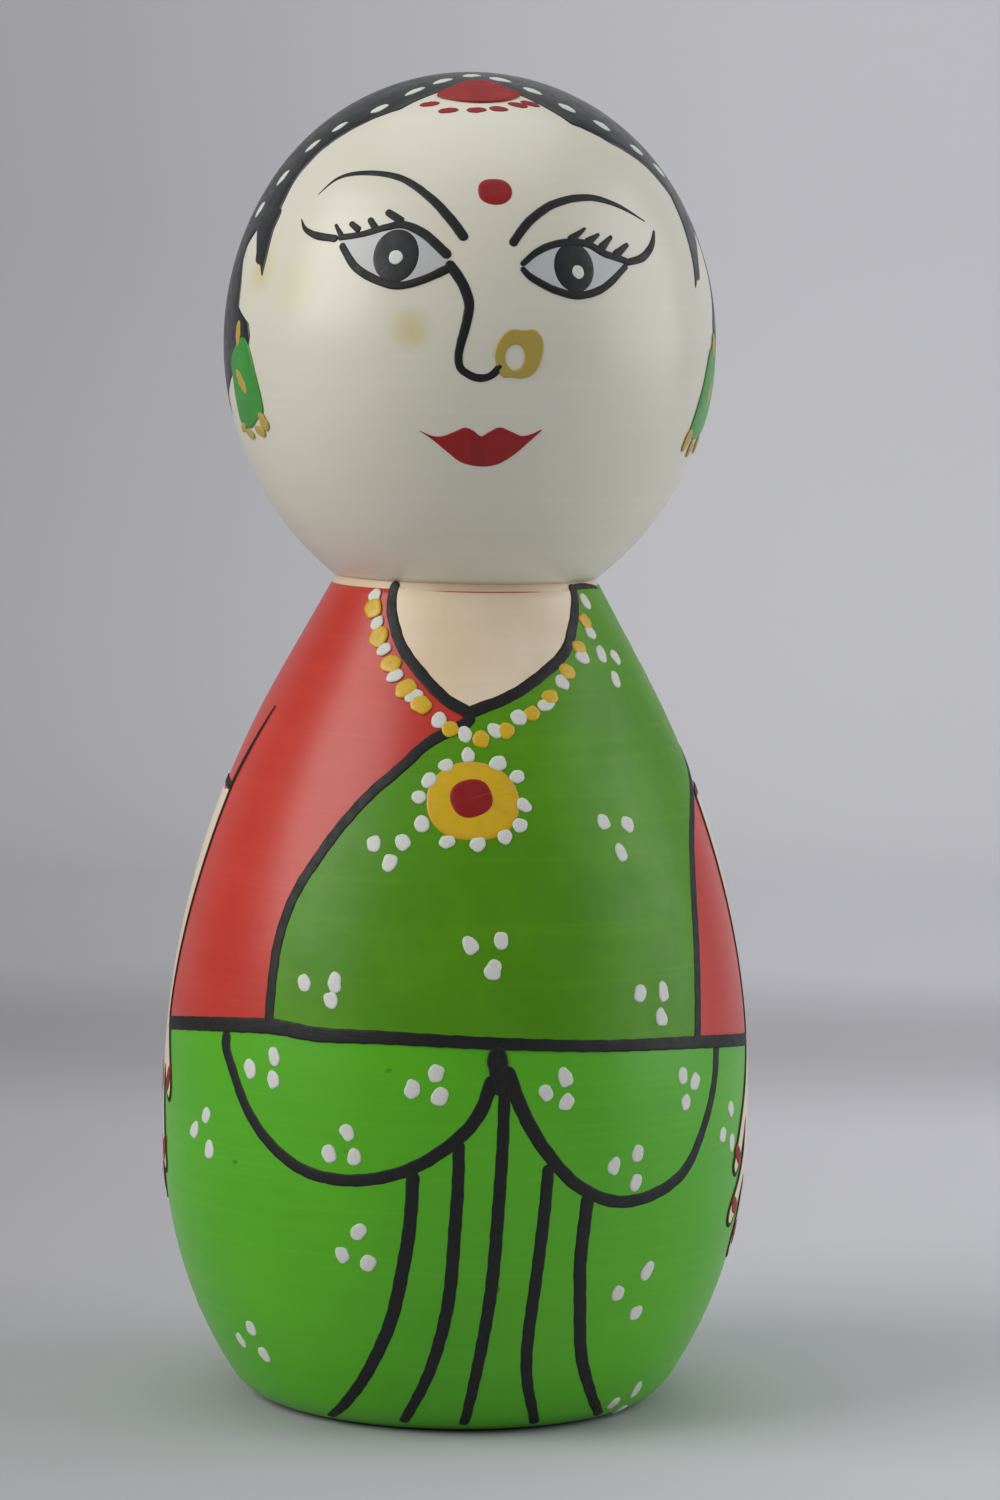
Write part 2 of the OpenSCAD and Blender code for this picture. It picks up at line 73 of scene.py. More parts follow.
def snap(points, lift=0.0):
    """Nearest places on the turned wood to some points, raised by lift, and the way the wood faces there."""
    p = np.atleast_2d(np.asarray(points, float))
    rho = np.maximum(np.hypot(p[:, 0], p[:, 1]), 1e-9)
    ux, uy, z = p[:, 0] / rho, p[:, 1] / rho, p[:, 2]
    head = z > SEAM_Z
    crown = head & (np.arctan2(z - CROWN_Z, rho) > CROWN_LEAN)
    low_head = head & (z < RING_Z)
    chest_a = np.arctan2(z - BELLY_TOP, rho - CHEST_X)
    cone = ~head & (chest_a > SHOULDER_LEAN)
    low_a = np.arctan2(z - BELLY_LOW, rho - LOW_X)
    foot = (z < BELLY_LOW) & (low_a < -FOOT_LEAN)
    pick = [crown, low_head, head, cone, ~head & (z > BELLY_TOP), z >= BELLY_LOW, foot]
    cx = np.select(pick, [0, SIDE_X, SIDE_X, 0, CHEST_X, 0, FOOT_X], LOW_X)
    cz = np.select(pick, [CROWN_Z, RING_Z, HEAD_Z, 0, BELLY_TOP, 0, FOOT_CZ], BELLY_LOW)
    r = np.select(pick, [CROWN_R, SIDE_ARC, SIDE_ARC, 0, CHEST_ARC, BELLY_R, FOOT_ARC], LOWER_ARC)
    # The belly and the head's widest ring are short straight bands
    band = (~head & (z <= BELLY_TOP) & (z >= BELLY_LOW)) | (head & (z <= HEAD_Z) & (z >= RING_Z))
    a = np.select([cone, band], [SHOULDER_LEAN, 0.0], np.arctan2(z - cz, rho - cx))
    nr, nz = np.cos(a), np.sin(a)
    br, bz = cx + r * nr, np.where(band, z, cz + r * nz)
    # The shoulder is a straight line that leaves the chest arc smoothly
    along = (z - SHOULDER_Z) * nr - (rho - SHOULDER_R) * nz
    br = np.where(cone, SHOULDER_R - along * nz, br)
    bz = np.where(cone, SHOULDER_Z + along * nr, bz)
    lift = np.broadcast_to(lift, rho.shape)
    out = np.stack([ux * (br + lift * nr), uy * (br + lift * nr), bz + lift * nz], 1)
    return out, np.stack([ux * nr, uy * nr, nz], 1)


def arc_reach(x, zc, r, z):
    """How far out an arc about (x, zc) is at a height."""
    return x + math.sqrt(max(r * r - (z - zc) ** 2, 0.0))


CROWN_JOIN = HEAD_Z + SIDE_ARC * sin(CROWN_LEAN)


def wood_r(z):
    """Radius of the bare wood at a height."""
    if z > CROWN_JOIN:
        return arc_reach(0, CROWN_Z, CROWN_R, z)
    if z > HEAD_Z:
        return arc_reach(SIDE_X, HEAD_Z, SIDE_ARC, z)
    if z > SEAM_Z:
        return arc_reach(SIDE_X, RING_Z, SIDE_ARC, min(z, RING_Z))
    if z > SHOULDER_Z:
        return SHOULDER_R - (z - SHOULDER_Z) * math.tan(SHOULDER_LEAN)
    if z > BELLY_TOP:
        return arc_reach(CHEST_X, BELLY_TOP, CHEST_ARC, z)
    if z > BELLY_LOW:
        return BELLY_R
    if z > FOOT_Z:
        return arc_reach(LOW_X, BELLY_LOW, LOWER_ARC, z)
    return arc_reach(FOOT_X, FOOT_CZ, FOOT_ARC, z)


def place(az, z):
    """The point of a place, just over the wood."""
    r = wood_r(z) + 0.2
    return np.array([r * sin(radians(az)), -r * cos(radians(az)), z])


def frame_at(point):
    """Surface point, and the ways round (east) and up the doll there."""
    base, n = snap(point)
    base, n = base[0], n[0]
    east = np.array([-base[1], base[0], 0.0])
    east = east / max(np.linalg.norm(east), 1e-9) if np.linalg.norm(east) > 1e-6 else np.array([1.0, 0, 0])
    return base, east, np.cross(n, east)

# ---- curves

def catmull(p, t):
    """A smooth curve through the rows of p, at the parameters t (0 to the number of spans)."""
    p = np.asarray(p, float)
    i = np.clip(t.astype(int), 0, len(p) - 2)
    s = (t - i)[:, None]
    g = lambda k: p[np.clip(i + k, 0, len(p) - 1)]
    a, b, c, d = g(-1), g(0), g(1), g(2)
    # A reflected ghost point keeps the ends from flattening
    a = np.where((i == 0)[:, None], 2 * b - c, a)
    d = np.where((i == len(p) - 2)[:, None], 2 * c - b, d)
    return 0.5 * (2 * b + (c - a) * s + (2 * a - 5 * b + 4 * c - d) * s**2 + (3 * b - a - 3 * c + d) * s**3)


def smooth_places(places, step=0.5, closed=False):
    """Places along a smooth line through some places, about step mm apart."""
    p = [tuple(q[:2]) for q in places]
    if closed:
        p = [p[-1]] + p + [p[0], p[1]]
    t = np.linspace(1 if closed else 0, len(p) - (2 if closed else 1), 40 * len(p))
    c = catmull(p, t)
    d = np.hypot(np.diff(c[:, 0]) * 0.5, np.diff(c[:, 1]))
    s = np.concatenate([[0], np.cumsum(d)])
    n = max(int(s[-1] / step), 3)
    u = np.linspace(0, s[-1], n + 1)
    if closed:
        u = u[:-1]
    return [(np.interp(v, s, c[:, 0]), np.interp(v, s, c[:, 1])) for v in u]


def ripple(s, size, wave):
    """A smooth random wobble along a length."""
    out = np.zeros_like(s)
    for k in (1.0, 0.53, 0.29):
        out += k * np.sin(2 * pi * s / (wave * k) + rng.uniform(0, 2 * pi))
    return size * out / 1.6

# ---- meshes

def added(name, data):
    """A new object in the scene."""
    obj = bpy.data.objects.new(name, data)
    bpy.context.scene.collection.objects.link(obj)
    return obj


class Shells:
    """Closed shells gathered into one mesh, with a paint coordinate (along, across, number) at each point."""

    def __init__(self):
        self.v, self.f, self.c, self.n, self.count = [], [], [], 0, 0

    def add(self, verts, faces, coords=None):
        verts = np.asarray(verts, float)
        self.count += 1
        if coords is None:
            coords = np.zeros((len(verts), 2))
        self.v.append(verts)
        self.c.append(np.column_stack([coords, np.full(len(verts), self.count * 3.7)]))
        self.f += [tuple(i + self.n for i in f) for f in faces]
        self.n += len(verts)

    def piece(self, name, material, *nodes, slot=None):
        """Makes the mesh, which stands for the named nodes, or for the node of its own name."""
        mesh = bpy.data.meshes.new(name)
        mesh.from_pydata((np.concatenate(self.v) * MM).tolist(), [], self.f)
        mesh.validate()
        mesh.polygons.foreach_set("use_smooth", [True] * len(mesh.polygons))
        at = mesh.attributes.new("brush", "FLOAT_VECTOR", "POINT")
        at.data.foreach_set("vector", np.concatenate(self.c).astype(np.float32).ravel())
        mesh.update()
        mesh.materials.append(material)
        obj = added(name, mesh)
        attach(obj, "root")
        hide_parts(*(nodes or (name,)))
        return obj


def grid_faces(rows, cols, closed_rows=False):
    """Quads between rows of points, each row joined end to end."""
    f = []
    for i in range(rows if closed_rows else rows - 1):
        a, b = i * cols, ((i + 1) % rows) * cols
        for j in range(cols):
            k = (j + 1) % cols
            f.append((a + j, a + k, b + k, b + j))
    return f


SECTION = [
    (-1, 0.0), (-0.93, 0.55), (-0.72, 0.9), (-0.35, 1.0), (0, 0.97), (0.35, 1.0), (0.72, 0.9), (0.93, 0.55),
    (1, 0.0),
]


def stroke(shells, places, width, base=PAINT, top=PAINT + 0.06, rough=0.035, sharp=(False, False), step=0.3):
    """A brush line along places. width is one number or one for each place."""
    if np.isscalar(width):
        width = [width, width]
    w = np.interp(np.linspace(0, 1, len(places)), np.linspace(0, 1, len(width)), width)
    rows = np.array([[*place(*p), wi] for p, wi in zip(places, w)])
    c = catmull(rows, np.linspace(0, len(rows) - 1, 60 * len(rows)))
    s = np.concatenate([[0], np.cumsum(np.linalg.norm(np.diff(c[:, :3], axis=0), axis=1))])
    total = s[-1]
    h0, h1 = (0.5 * max(np.interp(x, s, c[:, 3]), 0.1) for x in (0, total))
    ease = np.array([0, 0.02, 0.1, 0.25, 0.5, 0.75])
    mid = np.linspace(h0, total - h1, max(int((total - h0 - h1) / step), 2) + 1)
    u = np.concatenate([ease * h0, mid, total - ease[::-1] * h1])
    q = np.stack([np.interp(u, s, c[:, k]) for k in range(4)], 1)
    half = np.maximum(q[:, 3], 0.08) / 2
    if not sharp[0]:
        half *= np.sqrt(np.clip(1 - (1 - np.minimum(u / h0, 1)) ** 2, 0.0004, 1))
    if not sharp[1]:
        half *= np.sqrt(np.clip(1 - (1 - np.minimum((total - u) / h1, 1)) ** 2, 0.0004, 1))
    left = half + ripple(u, rough, 3.1) * np.minimum(1, half * 2)
    right = half + ripple(u, rough, 2.7) * np.minimum(1, half * 2)
    mids, n = snap(q[:, :3])
    t = np.gradient(mids, axis=0)
    side = np.cross(t, n)
    side /= np.maximum(np.linalg.norm(side, axis=1), 1e-9)[:, None]
    thick = (top - base) * np.clip(half / 0.35, 0.15, 1)
    rings, coords = [], []
    for o, h in SECTION:
        off = np.where(o < 0, left, right) * o
        rings.append(snap(mids + side * off[:, None], base + thick * h + CLEAR)[0])
        coords.append(np.column_stack([u, np.full(len(u), o)]))
    for o in (0.9, 0.0, -0.9):
        off = np.where(o < 0, left, right) * o
        rings.append(snap(mids + side * off[:, None], base - ROOT)[0])
        coords.append(np.column_stack([u, np.full(len(u), o)]))
    k = len(rings)
    verts = np.stack(rings, 1).reshape(-1, 3)
    faces = grid_faces(len(u), k)
    faces += [tuple(range(k))[::-1], tuple((len(u) - 1) * k + j for j in range(k))]
    shells.add(verts, faces, np.stack(coords, 1).reshape(-1, 2))


RINGS = [(1.0, 0.0), (0.985, 0.3), (0.93, 0.62), (0.82, 0.85), (0.6, 0.97), (0.3, 1.0)]


def blob(shells, at, a, b, turn, base=PAINT, top=LINE, power=2.0, tail=0.0, jag=0.05, spokes=28):
    """A dab of paint: half-axes a and b, turned from level, drawn out to a tail at one end."""
    p0, east, up = frame_at(place(*at))
    th = np.linspace(0, 2 * pi, spokes, endpoint=False)
    r = (np.abs(np.cos(th) / a) ** power + np.abs(np.sin(th) / b) ** power) ** (-1 / power)
    for k in (2, 3, 5):
        r = r * (1 + jag * rng.uniform(0.3, 1) * np.cos(k * th + rng.uniform(0, 2 * pi)) / math.sqrt(k))
    r = r * (1 + tail * np.maximum(np.cos(th), 0) ** 6)
    c, s = cos(radians(turn)), sin(radians(turn))
    x, y = r * np.cos(th), r * np.sin(th)
    ex, uy = x * c - y * s, x * s + y * c
    verts, coords = [], []
    for f, h in RINGS:
        pts = p0 + f * (ex[:, None] * east + uy[:, None] * up)
        verts.append(snap(pts, base + (top - base) * h + CLEAR)[0])
        coords.append(np.column_stack([np.full(spokes, f), th]))
    verts.append(snap(p0 + 0.97 * (ex[:, None] * east + uy[:, None] * up), base - ROOT)[0])
    coords.append(np.column_stack([np.full(spokes, 1.0), th]))
    rows = len(verts)
    after = [(j + 1) % spokes for j in range(spokes)]
    faces = []
    for i in range(rows - 2):
        low, high = i * spokes, (i + 1) * spokes
        faces += [(low + j, high + j, high + k, low + k) for j, k in enumerate(after)]
    last = (rows - 1) * spokes
    faces += [(j, k, last + k, last + j) for j, k in enumerate(after)]
    verts = np.concatenate(verts)
    tip = len(verts)
    verts = np.concatenate([verts, snap(p0, base + (top - base) * 0.98)[0], snap(p0, base - ROOT)[0]])
    coords = np.concatenate(coords + [np.array([[0.0, 0.0], [1.0, 0.0]])])
    inner = (rows - 2) * spokes
    faces += [(inner + j, tip, inner + k) for j, k in enumerate(after)]
    faces += [(last + k, tip + 1, last + j) for j, k in enumerate(after)]
    shells.add(verts, faces, coords)


def inside(poly, pts):
    """Which points lie in a polygon."""
    x, y = pts[:, 0], pts[:, 1]
    hit = np.zeros(len(pts), bool)
    for (x0, y0), (x1, y1) in zip(poly, np.roll(poly, -1, axis=0)):
        cross = (y0 > y) != (y1 > y)
        with np.errstate(divide="ignore", invalid="ignore"):
            hit ^= cross & (x < (x1 - x0) * (y - y0) / (y1 - y0) + x0)
    return hit


def edge_distance(poly, pts):
    """Distance of each point from a polygon's outline."""
    best = np.full(len(pts), 1e9)
    for a, b in zip(poly, np.roll(poly, -1, axis=0)):
        d = b - a
        t = np.clip(((pts - a) @ d) / max(d @ d, 1e-12), 0, 1)
        best = np.minimum(best, np.linalg.norm(pts - (a + t[:, None] * d), axis=1))
    return best


def patch(shells, outline, base=LACQUER, top=PAINT, cell=1.3, scale=0.5, rim=0.12, hole=None):
    """A filled area of paint inside an outline of places. scale is the millimetres of one degree there."""
    poly = np.array([(a * scale, z) for a, z in outline])
    loops = [poly]
    if hole is not None:
        loops.append(np.array([(a * scale, z) for a, z in hole]))
    lo, hi = poly.min(0), poly.max(0)
    gx, gy = np.meshgrid(np.arange(lo[0], hi[0], cell), np.arange(lo[1], hi[1], cell))
    gx = gx + (np.arange(gx.shape[0]) % 2)[:, None] * cell / 2
    pts = [np.column_stack([gx.ravel(), gy.ravel()])]
    for loop in loops:
        for gap in (rim, 3 * rim):
            d = np.roll(loop, -1, axis=0) - np.roll(loop, 1, axis=0)
            length = np.maximum(np.linalg.norm(d, axis=1), 1e-9)[:, None]
            normal = np.column_stack([-d[:, 1], d[:, 0]]) / length
            pts += [loop + gap * normal, loop - gap * normal]
    pts = np.concatenate(pts)
    keep = inside(poly, pts)
    if hole is not None:
        keep &= ~inside(loops[1], pts)
    pts = pts[keep]
    dist = np.min([edge_distance(loop, pts) for loop in loops], axis=0)
    pts = pts[dist > rim * 0.8]
    allp = np.concatenate(loops + [pts])
    edges, start = [], 0
    for loop in loops:
        m = len(loop)
        edges += [(start + i, start + (i + 1) % m) for i in range(m)]
        start += m
    out = delaunay_2d_cdt([Vector(p) for p in allp], edges, [], 1, 1e-5)
    co = np.array([tuple(v) for v in out[0]])
    tris = [tuple(f) for f in out[2]]
    if hole is not None:
        mid = np.array([co[list(f)].mean(0) for f in tris])
        keep = ~inside(loops[1], mid) & inside(poly, mid)
        tris = [f for f, k in zip(tris, keep) if k]
    d = np.min([edge_distance(loop, co) for loop in loops], axis=0)
    lift = base + (top - base) * np.sqrt(np.clip(d / rim, 0.02, 1))
    p3 = np.array([place(x / scale, z) for x, z in co])
    over, n = snap(p3, lift)
    under = snap(p3, base - ROOT)[0]
    used = sorted({i for f in tris for i in f})
    # Triangles face outwards
    a, b, c = (over[[f[k] for f in tris]] for k in range(3))
    flip = np.einsum("ij,ij->i", np.cross(b - a, c - a), n[[f[0] for f in tris]]) < 0
    tris = [f[::-1] if k else f for f, k in zip(tris, flip)]
    m = len(co)
    count = {}
    for f in tris:
        for i in range(3):
            e = (f[i], f[(i + 1) % 3])
            count[e] = count.get(e, 0) + 1
    rim_edges = [e for e in count if (e[1], e[0]) not in count]
    faces = tris + [tuple(i + m for i in f[::-1]) for f in tris]
    faces += [(e[1], e[0], e[0] + m, e[1] + m) for e in rim_edges]
    remap = {i: k for k, i in enumerate(used)}
    remap.update({i + m: k + len(used) for k, i in enumerate(used)})
    faces = [tuple(remap[i] for i in f) for f in faces]
    verts = np.concatenate([over[used], under[used]])
    coords = np.concatenate([np.column_stack([co[used][:, 0], co[used][:, 1]])] * 2)
    shells.add(verts, faces, coords)


def run_table(z0, z1, n=1500):
    """Heights against the length along the turned profile."""
    # Heights bunch up at the ends, where the profile runs level
    z = z0 + (z1 - z0) * (1 - np.cos(np.linspace(0, pi, n))) / 2
    r = np.array([wood_r(v) for v in z])
    s = np.concatenate([[0], np.cumsum(np.hypot(np.diff(r), np.diff(z)))])
    return s, z


HEAD_RUN = run_table(SEAM_Z + 1e-4, TOP_Z - 1e-7)
BODY_RUN = run_table(0.0, SEAM_Z)


def coat(shells, run, low, high, t0=0.0, t1=LACQUER, cols=288, step=0.7, closed_top=False):
    """A coat all round the doll between two heights, which may be functions of the angle."""
    az = np.linspace(0, 360, cols, endpoint=False)
    s_of = lambda z: np.interp(z, run[1], run[0])
    lo = s_of(np.array([low(a) if callable(low) else low for a in az]))
    hi = s_of(np.array([high(a) if callable(high) else high for a in az]))
    length = float((hi - lo).max())
    n = max(int(length / step), 3)
    v = np.linspace(0, 1, n + 1)
    edge = min(0.06 / length, 0.2)
    v = np.unique(np.concatenate([v, [edge, 1 - edge]]))
    ca, sa = np.sin(np.radians(az)), -np.cos(np.radians(az))

    def ring(f, lift):
        z = np.interp(lo + (hi - lo) * f, run[0], run[1])
        r = np.array([wood_r(q) for q in z])
        pts = np.column_stack([r * ca, r * sa, z])
        return snap(pts, lift)[0]

    outer, coords = [], []
    for f in v:
        soft = 0.35 if (f == 0 or (f == 1 and not closed_top)) else 1.0
        outer.append(ring(f, t0 + (t1 - t0) * soft))
        coords.append(np.column_stack([az, np.full(cols, f)]))
    inner = [ring(f, t0 + 0.001) for f in np.linspace(1, 0, max(n // 4, 4))]
    verts = np.concatenate(outer + inner)
    rows = len(outer) + len(inner)
    coords = np.concatenate(coords + [np.column_stack([az, np.full(cols, 0.5)])] * len(inner))
    if not closed_top:
        faces = grid_faces(rows, cols, closed_rows=True)
    else:
        a, b = len(outer), len(inner)
        faces = grid_faces(a, cols)
        faces += [tuple(i + a * cols for i in f) for f in grid_faces(b, cols)]
        first, last = 0, (rows - 1) * cols
        faces += [(last + j, last + (j + 1) % cols, (j + 1) % cols, j) for j in range(cols)]
        tip = len(verts)
        verts = np.concatenate([verts, [[0, 0, TOP_Z + t1], [0, 0, TOP_Z + t0]]])
        coords = np.concatenate([coords, [[0, 1.0], [0, 1.0]]])
        top_row, under_row = (a - 1) * cols, a * cols
        faces += [(top_row + j, top_row + (j + 1) % cols, tip) for j in range(cols)]
        faces += [(under_row + (j + 1) % cols, under_row + j, tip + 1) for j in range(cols)]
    shells.add(verts, faces, coords)

# ---- materials

def linear(rgb):
    """A colour from 0 to 255 per channel, as the shader's own linear values."""
    out = []
    for v in rgb:
        v = v / 255
        out.append(v / 12.92 if v <= 0.04045 else ((v + 0.055) / 1.055) ** 2.4)
    return (*out, 1.0)


class Nodes:
    """Short ways to build a node material."""

    def __init__(self, name):
        self.mat = bpy.data.materials.new(name)
        self.mat.use_nodes = True
        self.tree = self.mat.node_tree
        self.bsdf = self.tree.nodes["Principled BSDF"]
        self.coord = self.new("ShaderNodeTexCoord").outputs["Object"]

    def new(self, kind, **settings):
        node = self.tree.nodes.new(kind)
        for k, v in settings.items():
            setattr(node, k, v)
        return node

    def link(self, a, b):
        self.tree.links.new(a, b)

    def set(self, **values):
        for k, v in values.items():
            self.bsdf.inputs[k.replace("_", " ")].default_value = v

    def noise(self, scale, detail=2.0, rough=0.5, stretch=(1, 1, 1), source=None, distortion=0.0):
        m = self.new("ShaderNodeMapping")
        m.inputs["Scale"].default_value = stretch
        self.link(source or self.coord, m.inputs["Vector"])
        n = self.new("ShaderNodeTexNoise")
        n.inputs["Scale"].default_value = scale
        n.inputs["Detail"].default_value = detail
        n.inputs["Roughness"].default_value = rough
        n.inputs["Distortion"].default_value = distortion
        self.link(m.outputs["Vector"], n.inputs["Vector"])
        return n.outputs["Fac"]

    def ramp(self, value, low, high, to=(0.0, 1.0)):
        r = self.new("ShaderNodeMapRange")
        r.interpolation_type = "SMOOTHSTEP"
        for k, v in (("From Min", low), ("From Max", high), ("To Min", to[0]), ("To Max", to[1])):
            r.inputs[k].default_value = v
        self.link(value, r.inputs["Value"])
        return r.outputs["Result"]

    def mix(self, fac, a, b):
        m = self.new("ShaderNodeMix", data_type="RGBA")
        if isinstance(fac, float):
            m.inputs["Factor"].default_value = fac
        else:
            self.link(fac, m.inputs["Factor"])
        for sock, v in ((m.inputs["A"], a), (m.inputs["B"], b)):
            if isinstance(v, tuple):
                sock.default_value = v
            else:
                self.link(v, sock)
        return m.outputs["Result"]

    def math(self, op, a, b):
        m = self.new("ShaderNodeMath", operation=op)
        for i, v in enumerate((a, b)):
            if isinstance(v, (int, float)):
                m.inputs[i].default_value = v
            else:
                self.link(v, m.inputs[i])
        return m.outputs["Value"]

    def bump(self, height, mm, normal=None):
        b = self.new("ShaderNodeBump")
        b.inputs["Distance"].default_value = mm * MM
        b.inputs["Strength"].default_value = 1.0
        self.link(height, b.inputs["Height"])
        if normal is not None:
            self.link(normal, b.inputs["Normal"])
        return b.outputs["Normal"]


def lacquer(name, base, light, dark, rough=0.3, coat_weight=0.35, rings=0.02, specks=None, stains=()):
    """A coat rubbed on while the wood turns: faint rings, soft clouds of colour, tiny pits."""
    m = Nodes(name)
    cloud = m.noise(45, 3, 0.55)
    ring = m.noise(1, 3, 0.6, stretch=(14, 14, 1500))
    broad = m.noise(1, 2, 0.5, stretch=(10, 10, 260))
    colour = m.mix(m.ramp(cloud, 0.2, 0.8), linear(dark), linear(base))
    colour = m.mix(m.ramp(ring, 0.45, 0.8, (0, 0.22)), colour, linear(light))
    colour = m.mix(m.ramp(broad, 0.35, 0.7, (0.2, 0)), colour, linear(dark))
    for at, r, tint, much in stains:
        d = m.new("ShaderNodeVectorMath", operation="DISTANCE")
        m.link(m.coord, d.inputs[0])
        d.inputs[1].default_value = tuple(snap(place(*at), LACQUER)[0][0] * MM)
        fuzz = m.noise(500, 3, 0.6)
        dist = m.math("ADD", d.outputs["Value"], m.math("MULTIPLY", fuzz, r * 0.5 * MM))
        colour = m.mix(m.ramp(dist, r * 0.35 * MM, r * 1.3 * MM, (much, 0.0)), colour, linear(tint))
    if specks:
        s = m.noise(420, 1, 0.4)
        colour = m.mix(m.ramp(s, 0.77, 0.83, (0.0, 0.7)), colour, linear(specks))
    m.link(colour, m.bsdf.inputs["Base Color"])
    m.link(m.ramp(m.noise(160, 3, 0.6), 0.25, 0.75, (rough - 0.015, rough + 0.02)),
        m.bsdf.inputs["Roughness"])
    n = m.bump(ring, rings)
    n = m.bump(broad, rings * 2.5, n)
    n = m.bump(m.noise(5200, 2, 0.7), 0.004, n)
    m.link(n, m.bsdf.inputs["Normal"])
    m.set(Coat_Weight=coat_weight, Coat_Roughness=0.22, Coat_IOR=1.45, IOR=1.48)
    return m.mat


def brushed(name, base, thin, rough=0.42, streak=0.5, coat_weight=0.2, dome=False, worn=0.5):
    """Paint laid on with a brush, thin at the edges and in the streaks."""
    m = Nodes(name)
    at = m.new("ShaderNodeAttribute", attribute_name="brush")
    hair = m.noise(1, 2, 0.6, stretch=(0.6, 3.2, 1.0), source=at.outputs["Vector"])
    cloud = m.noise(700, 2, 0.6)
    sep = m.new("ShaderNodeSeparateXYZ")
    m.link(at.outputs["Vector"], sep.inputs["Vector"])
    across = m.math("ABSOLUTE", sep.outputs["X" if dome else "Y"], 0.0)
    edge = m.ramp(across, 0.8, 1.0, (0.0, worn))
    streaks = m.ramp(m.math("ADD", hair, m.math("MULTIPLY", cloud, 0.35)), 0.6, 0.95, (0.0, streak))
    colour = m.mix(m.math("MAXIMUM", edge, streaks), linear(base), linear(thin))
    m.link(colour, m.bsdf.inputs["Base Color"])
    m.link(m.ramp(cloud, 0.3, 0.7, (rough - 0.06, rough + 0.08)), m.bsdf.inputs["Roughness"])
    n = m.bump(hair, 0.03)
    n = m.bump(m.noise(4800, 2, 0.7), 0.006, n)
    m.link(n, m.bsdf.inputs["Normal"])
    m.set(Coat_Weight=coat_weight, Coat_Roughness=0.3, IOR=1.48)
    return m.mat


def filled(name, base, light, dark, rough=0.36, coat_weight=0.3, under=None, ior=1.48):
    """Paint brushed over an area, with streaks that follow the turning and a hint of what lies below."""
    m = Nodes(name)
    cloud = m.noise(60, 4, 0.6)
    streak = m.noise(1, 3, 0.6, stretch=(25, 25, 700), distortion=0.3)
    colour = m.mix(m.ramp(cloud, 0.35, 0.7), linear(dark), linear(base))
    colour = m.mix(m.ramp(streak, 0.5, 0.8, (0.0, 0.3)), colour, linear(light))
    if under:
        blot = m.noise(26, 3, 0.6)
        colour = m.mix(m.ramp(blot, 0.5, 0.8, (0.0, 0.35)), colour, linear(under))
    m.link(colour, m.bsdf.inputs["Base Color"])
    m.link(m.ramp(m.noise(220, 3, 0.6), 0.3, 0.7, (rough - 0.05, rough + 0.08)), m.bsdf.inputs["Roughness"])
    n = m.bump(streak, 0.012)
    n = m.bump(m.noise(5200, 2, 0.7), 0.004, n)
    m.link(n, m.bsdf.inputs["Normal"])
    m.set(Coat_Weight=coat_weight, Coat_Roughness=0.22, IOR=ior)
    return m.mat


def wood(name, base, dark):
    """Bare turned wood."""
    m = Nodes(name)
    wave = m.new("ShaderNodeTexWave", wave_type="BANDS", bands_direction="X")
    for k, v in (("Scale", 90.0), ("Distortion", 3.5), ("Detail", 3.0), ("Detail Scale", 1.2)):
        wave.inputs[k].default_value = v
    m.link(m.coord, wave.inputs["Vector"])
    fibre = m.noise(1, 4, 0.65, stretch=(2600, 700, 60))
    colour = m.mix(m.ramp(wave.outputs["Fac"], 0.2, 0.9), linear(base), linear(dark))
    colour = m.mix(m.ramp(fibre, 0.5, 0.75, (0.0, 0.6)), colour, linear(dark))
    m.link(colour, m.bsdf.inputs["Base Color"])
    m.link(m.ramp(fibre, 0.3, 0.7, (0.5, 0.75)), m.bsdf.inputs["Roughness"])
    n = m.bump(fibre, 0.05)
    m.link(m.bump(m.noise(1, 2, 0.5, stretch=(40, 40, 3000)), 0.03, n), m.bsdf.inputs["Normal"])
    m.set(IOR=1.45)
    return m.mat


# Yellow stains on the face: place, radius, colour and strength
STAINS = [
    ((-62, 127.4), 3.6, (214, 200, 112), 0.5), ((-16, 121.3), 3.0, (210, 192, 96), 0.55),
    ((-48, 126), 5.0, (222, 214, 160), 0.35),
]
IVORY = lacquer("ivory_lacquer", (230, 227, 211), (238, 236, 224), (225, 221, 202), rough=0.34,
    coat_weight=0.3, rings=0.004, stains=STAINS)
CREAM = lacquer("cream_lacquer", (238, 218, 190), (245, 230, 208), (225, 198, 165), rough=0.3, rings=0.01)
RED = lacquer("red_lacquer", (212, 62, 44), (224, 88, 66), (196, 46, 34), rough=0.36, coat_weight=0.2,
    rings=0.014)
GREEN = lacquer("green_lacquer", (92, 190, 8), (114, 204, 30), (78, 176, 4), rough=0.36, coat_weight=0.15,
    rings=0.006, specks=(40, 80, 20))
DRAPE = filled("drape_paint", (92, 160, 2), (108, 174, 18), (80, 146, 0), rough=0.42, coat_weight=0.06,
    ior=1.38, under=(116, 136, 20))
SKIN = filled("skin_paint", (247, 228, 200), (250, 236, 214), (238, 214, 182), rough=0.4)
BLACK = brushed("black_paint", (4, 6, 5), (18, 22, 18), rough=0.55, streak=0.4, coat_weight=0.0, worn=0.1)
# The hair's paint is the black paint made greyer: partly the hair's own charcoal tone, partly a painted sheen
# standing in for its soft highlight.
HAIR_SHEEN_PAINT = brushed("hair_paint_with_painted_sheen", (24, 26, 28), (52, 54, 56), rough=0.34, streak=0.4, coat_weight=0.25, worn=0.1)
WHITE = brushed("white_paint", (228, 230, 222), (190, 206, 176), rough=0.5, streak=0.35, coat_weight=0.05,
    dome=True)
RED_PAINT = brushed("red_paint", (148, 4, 6), (164, 20, 16), rough=0.5, streak=0.4, coat_weight=0.0,
    dome=True)
EYE_WHITE = filled("eye_white_paint", (200, 201, 201), (210, 211, 209), (192, 193, 194), rough=0.4)
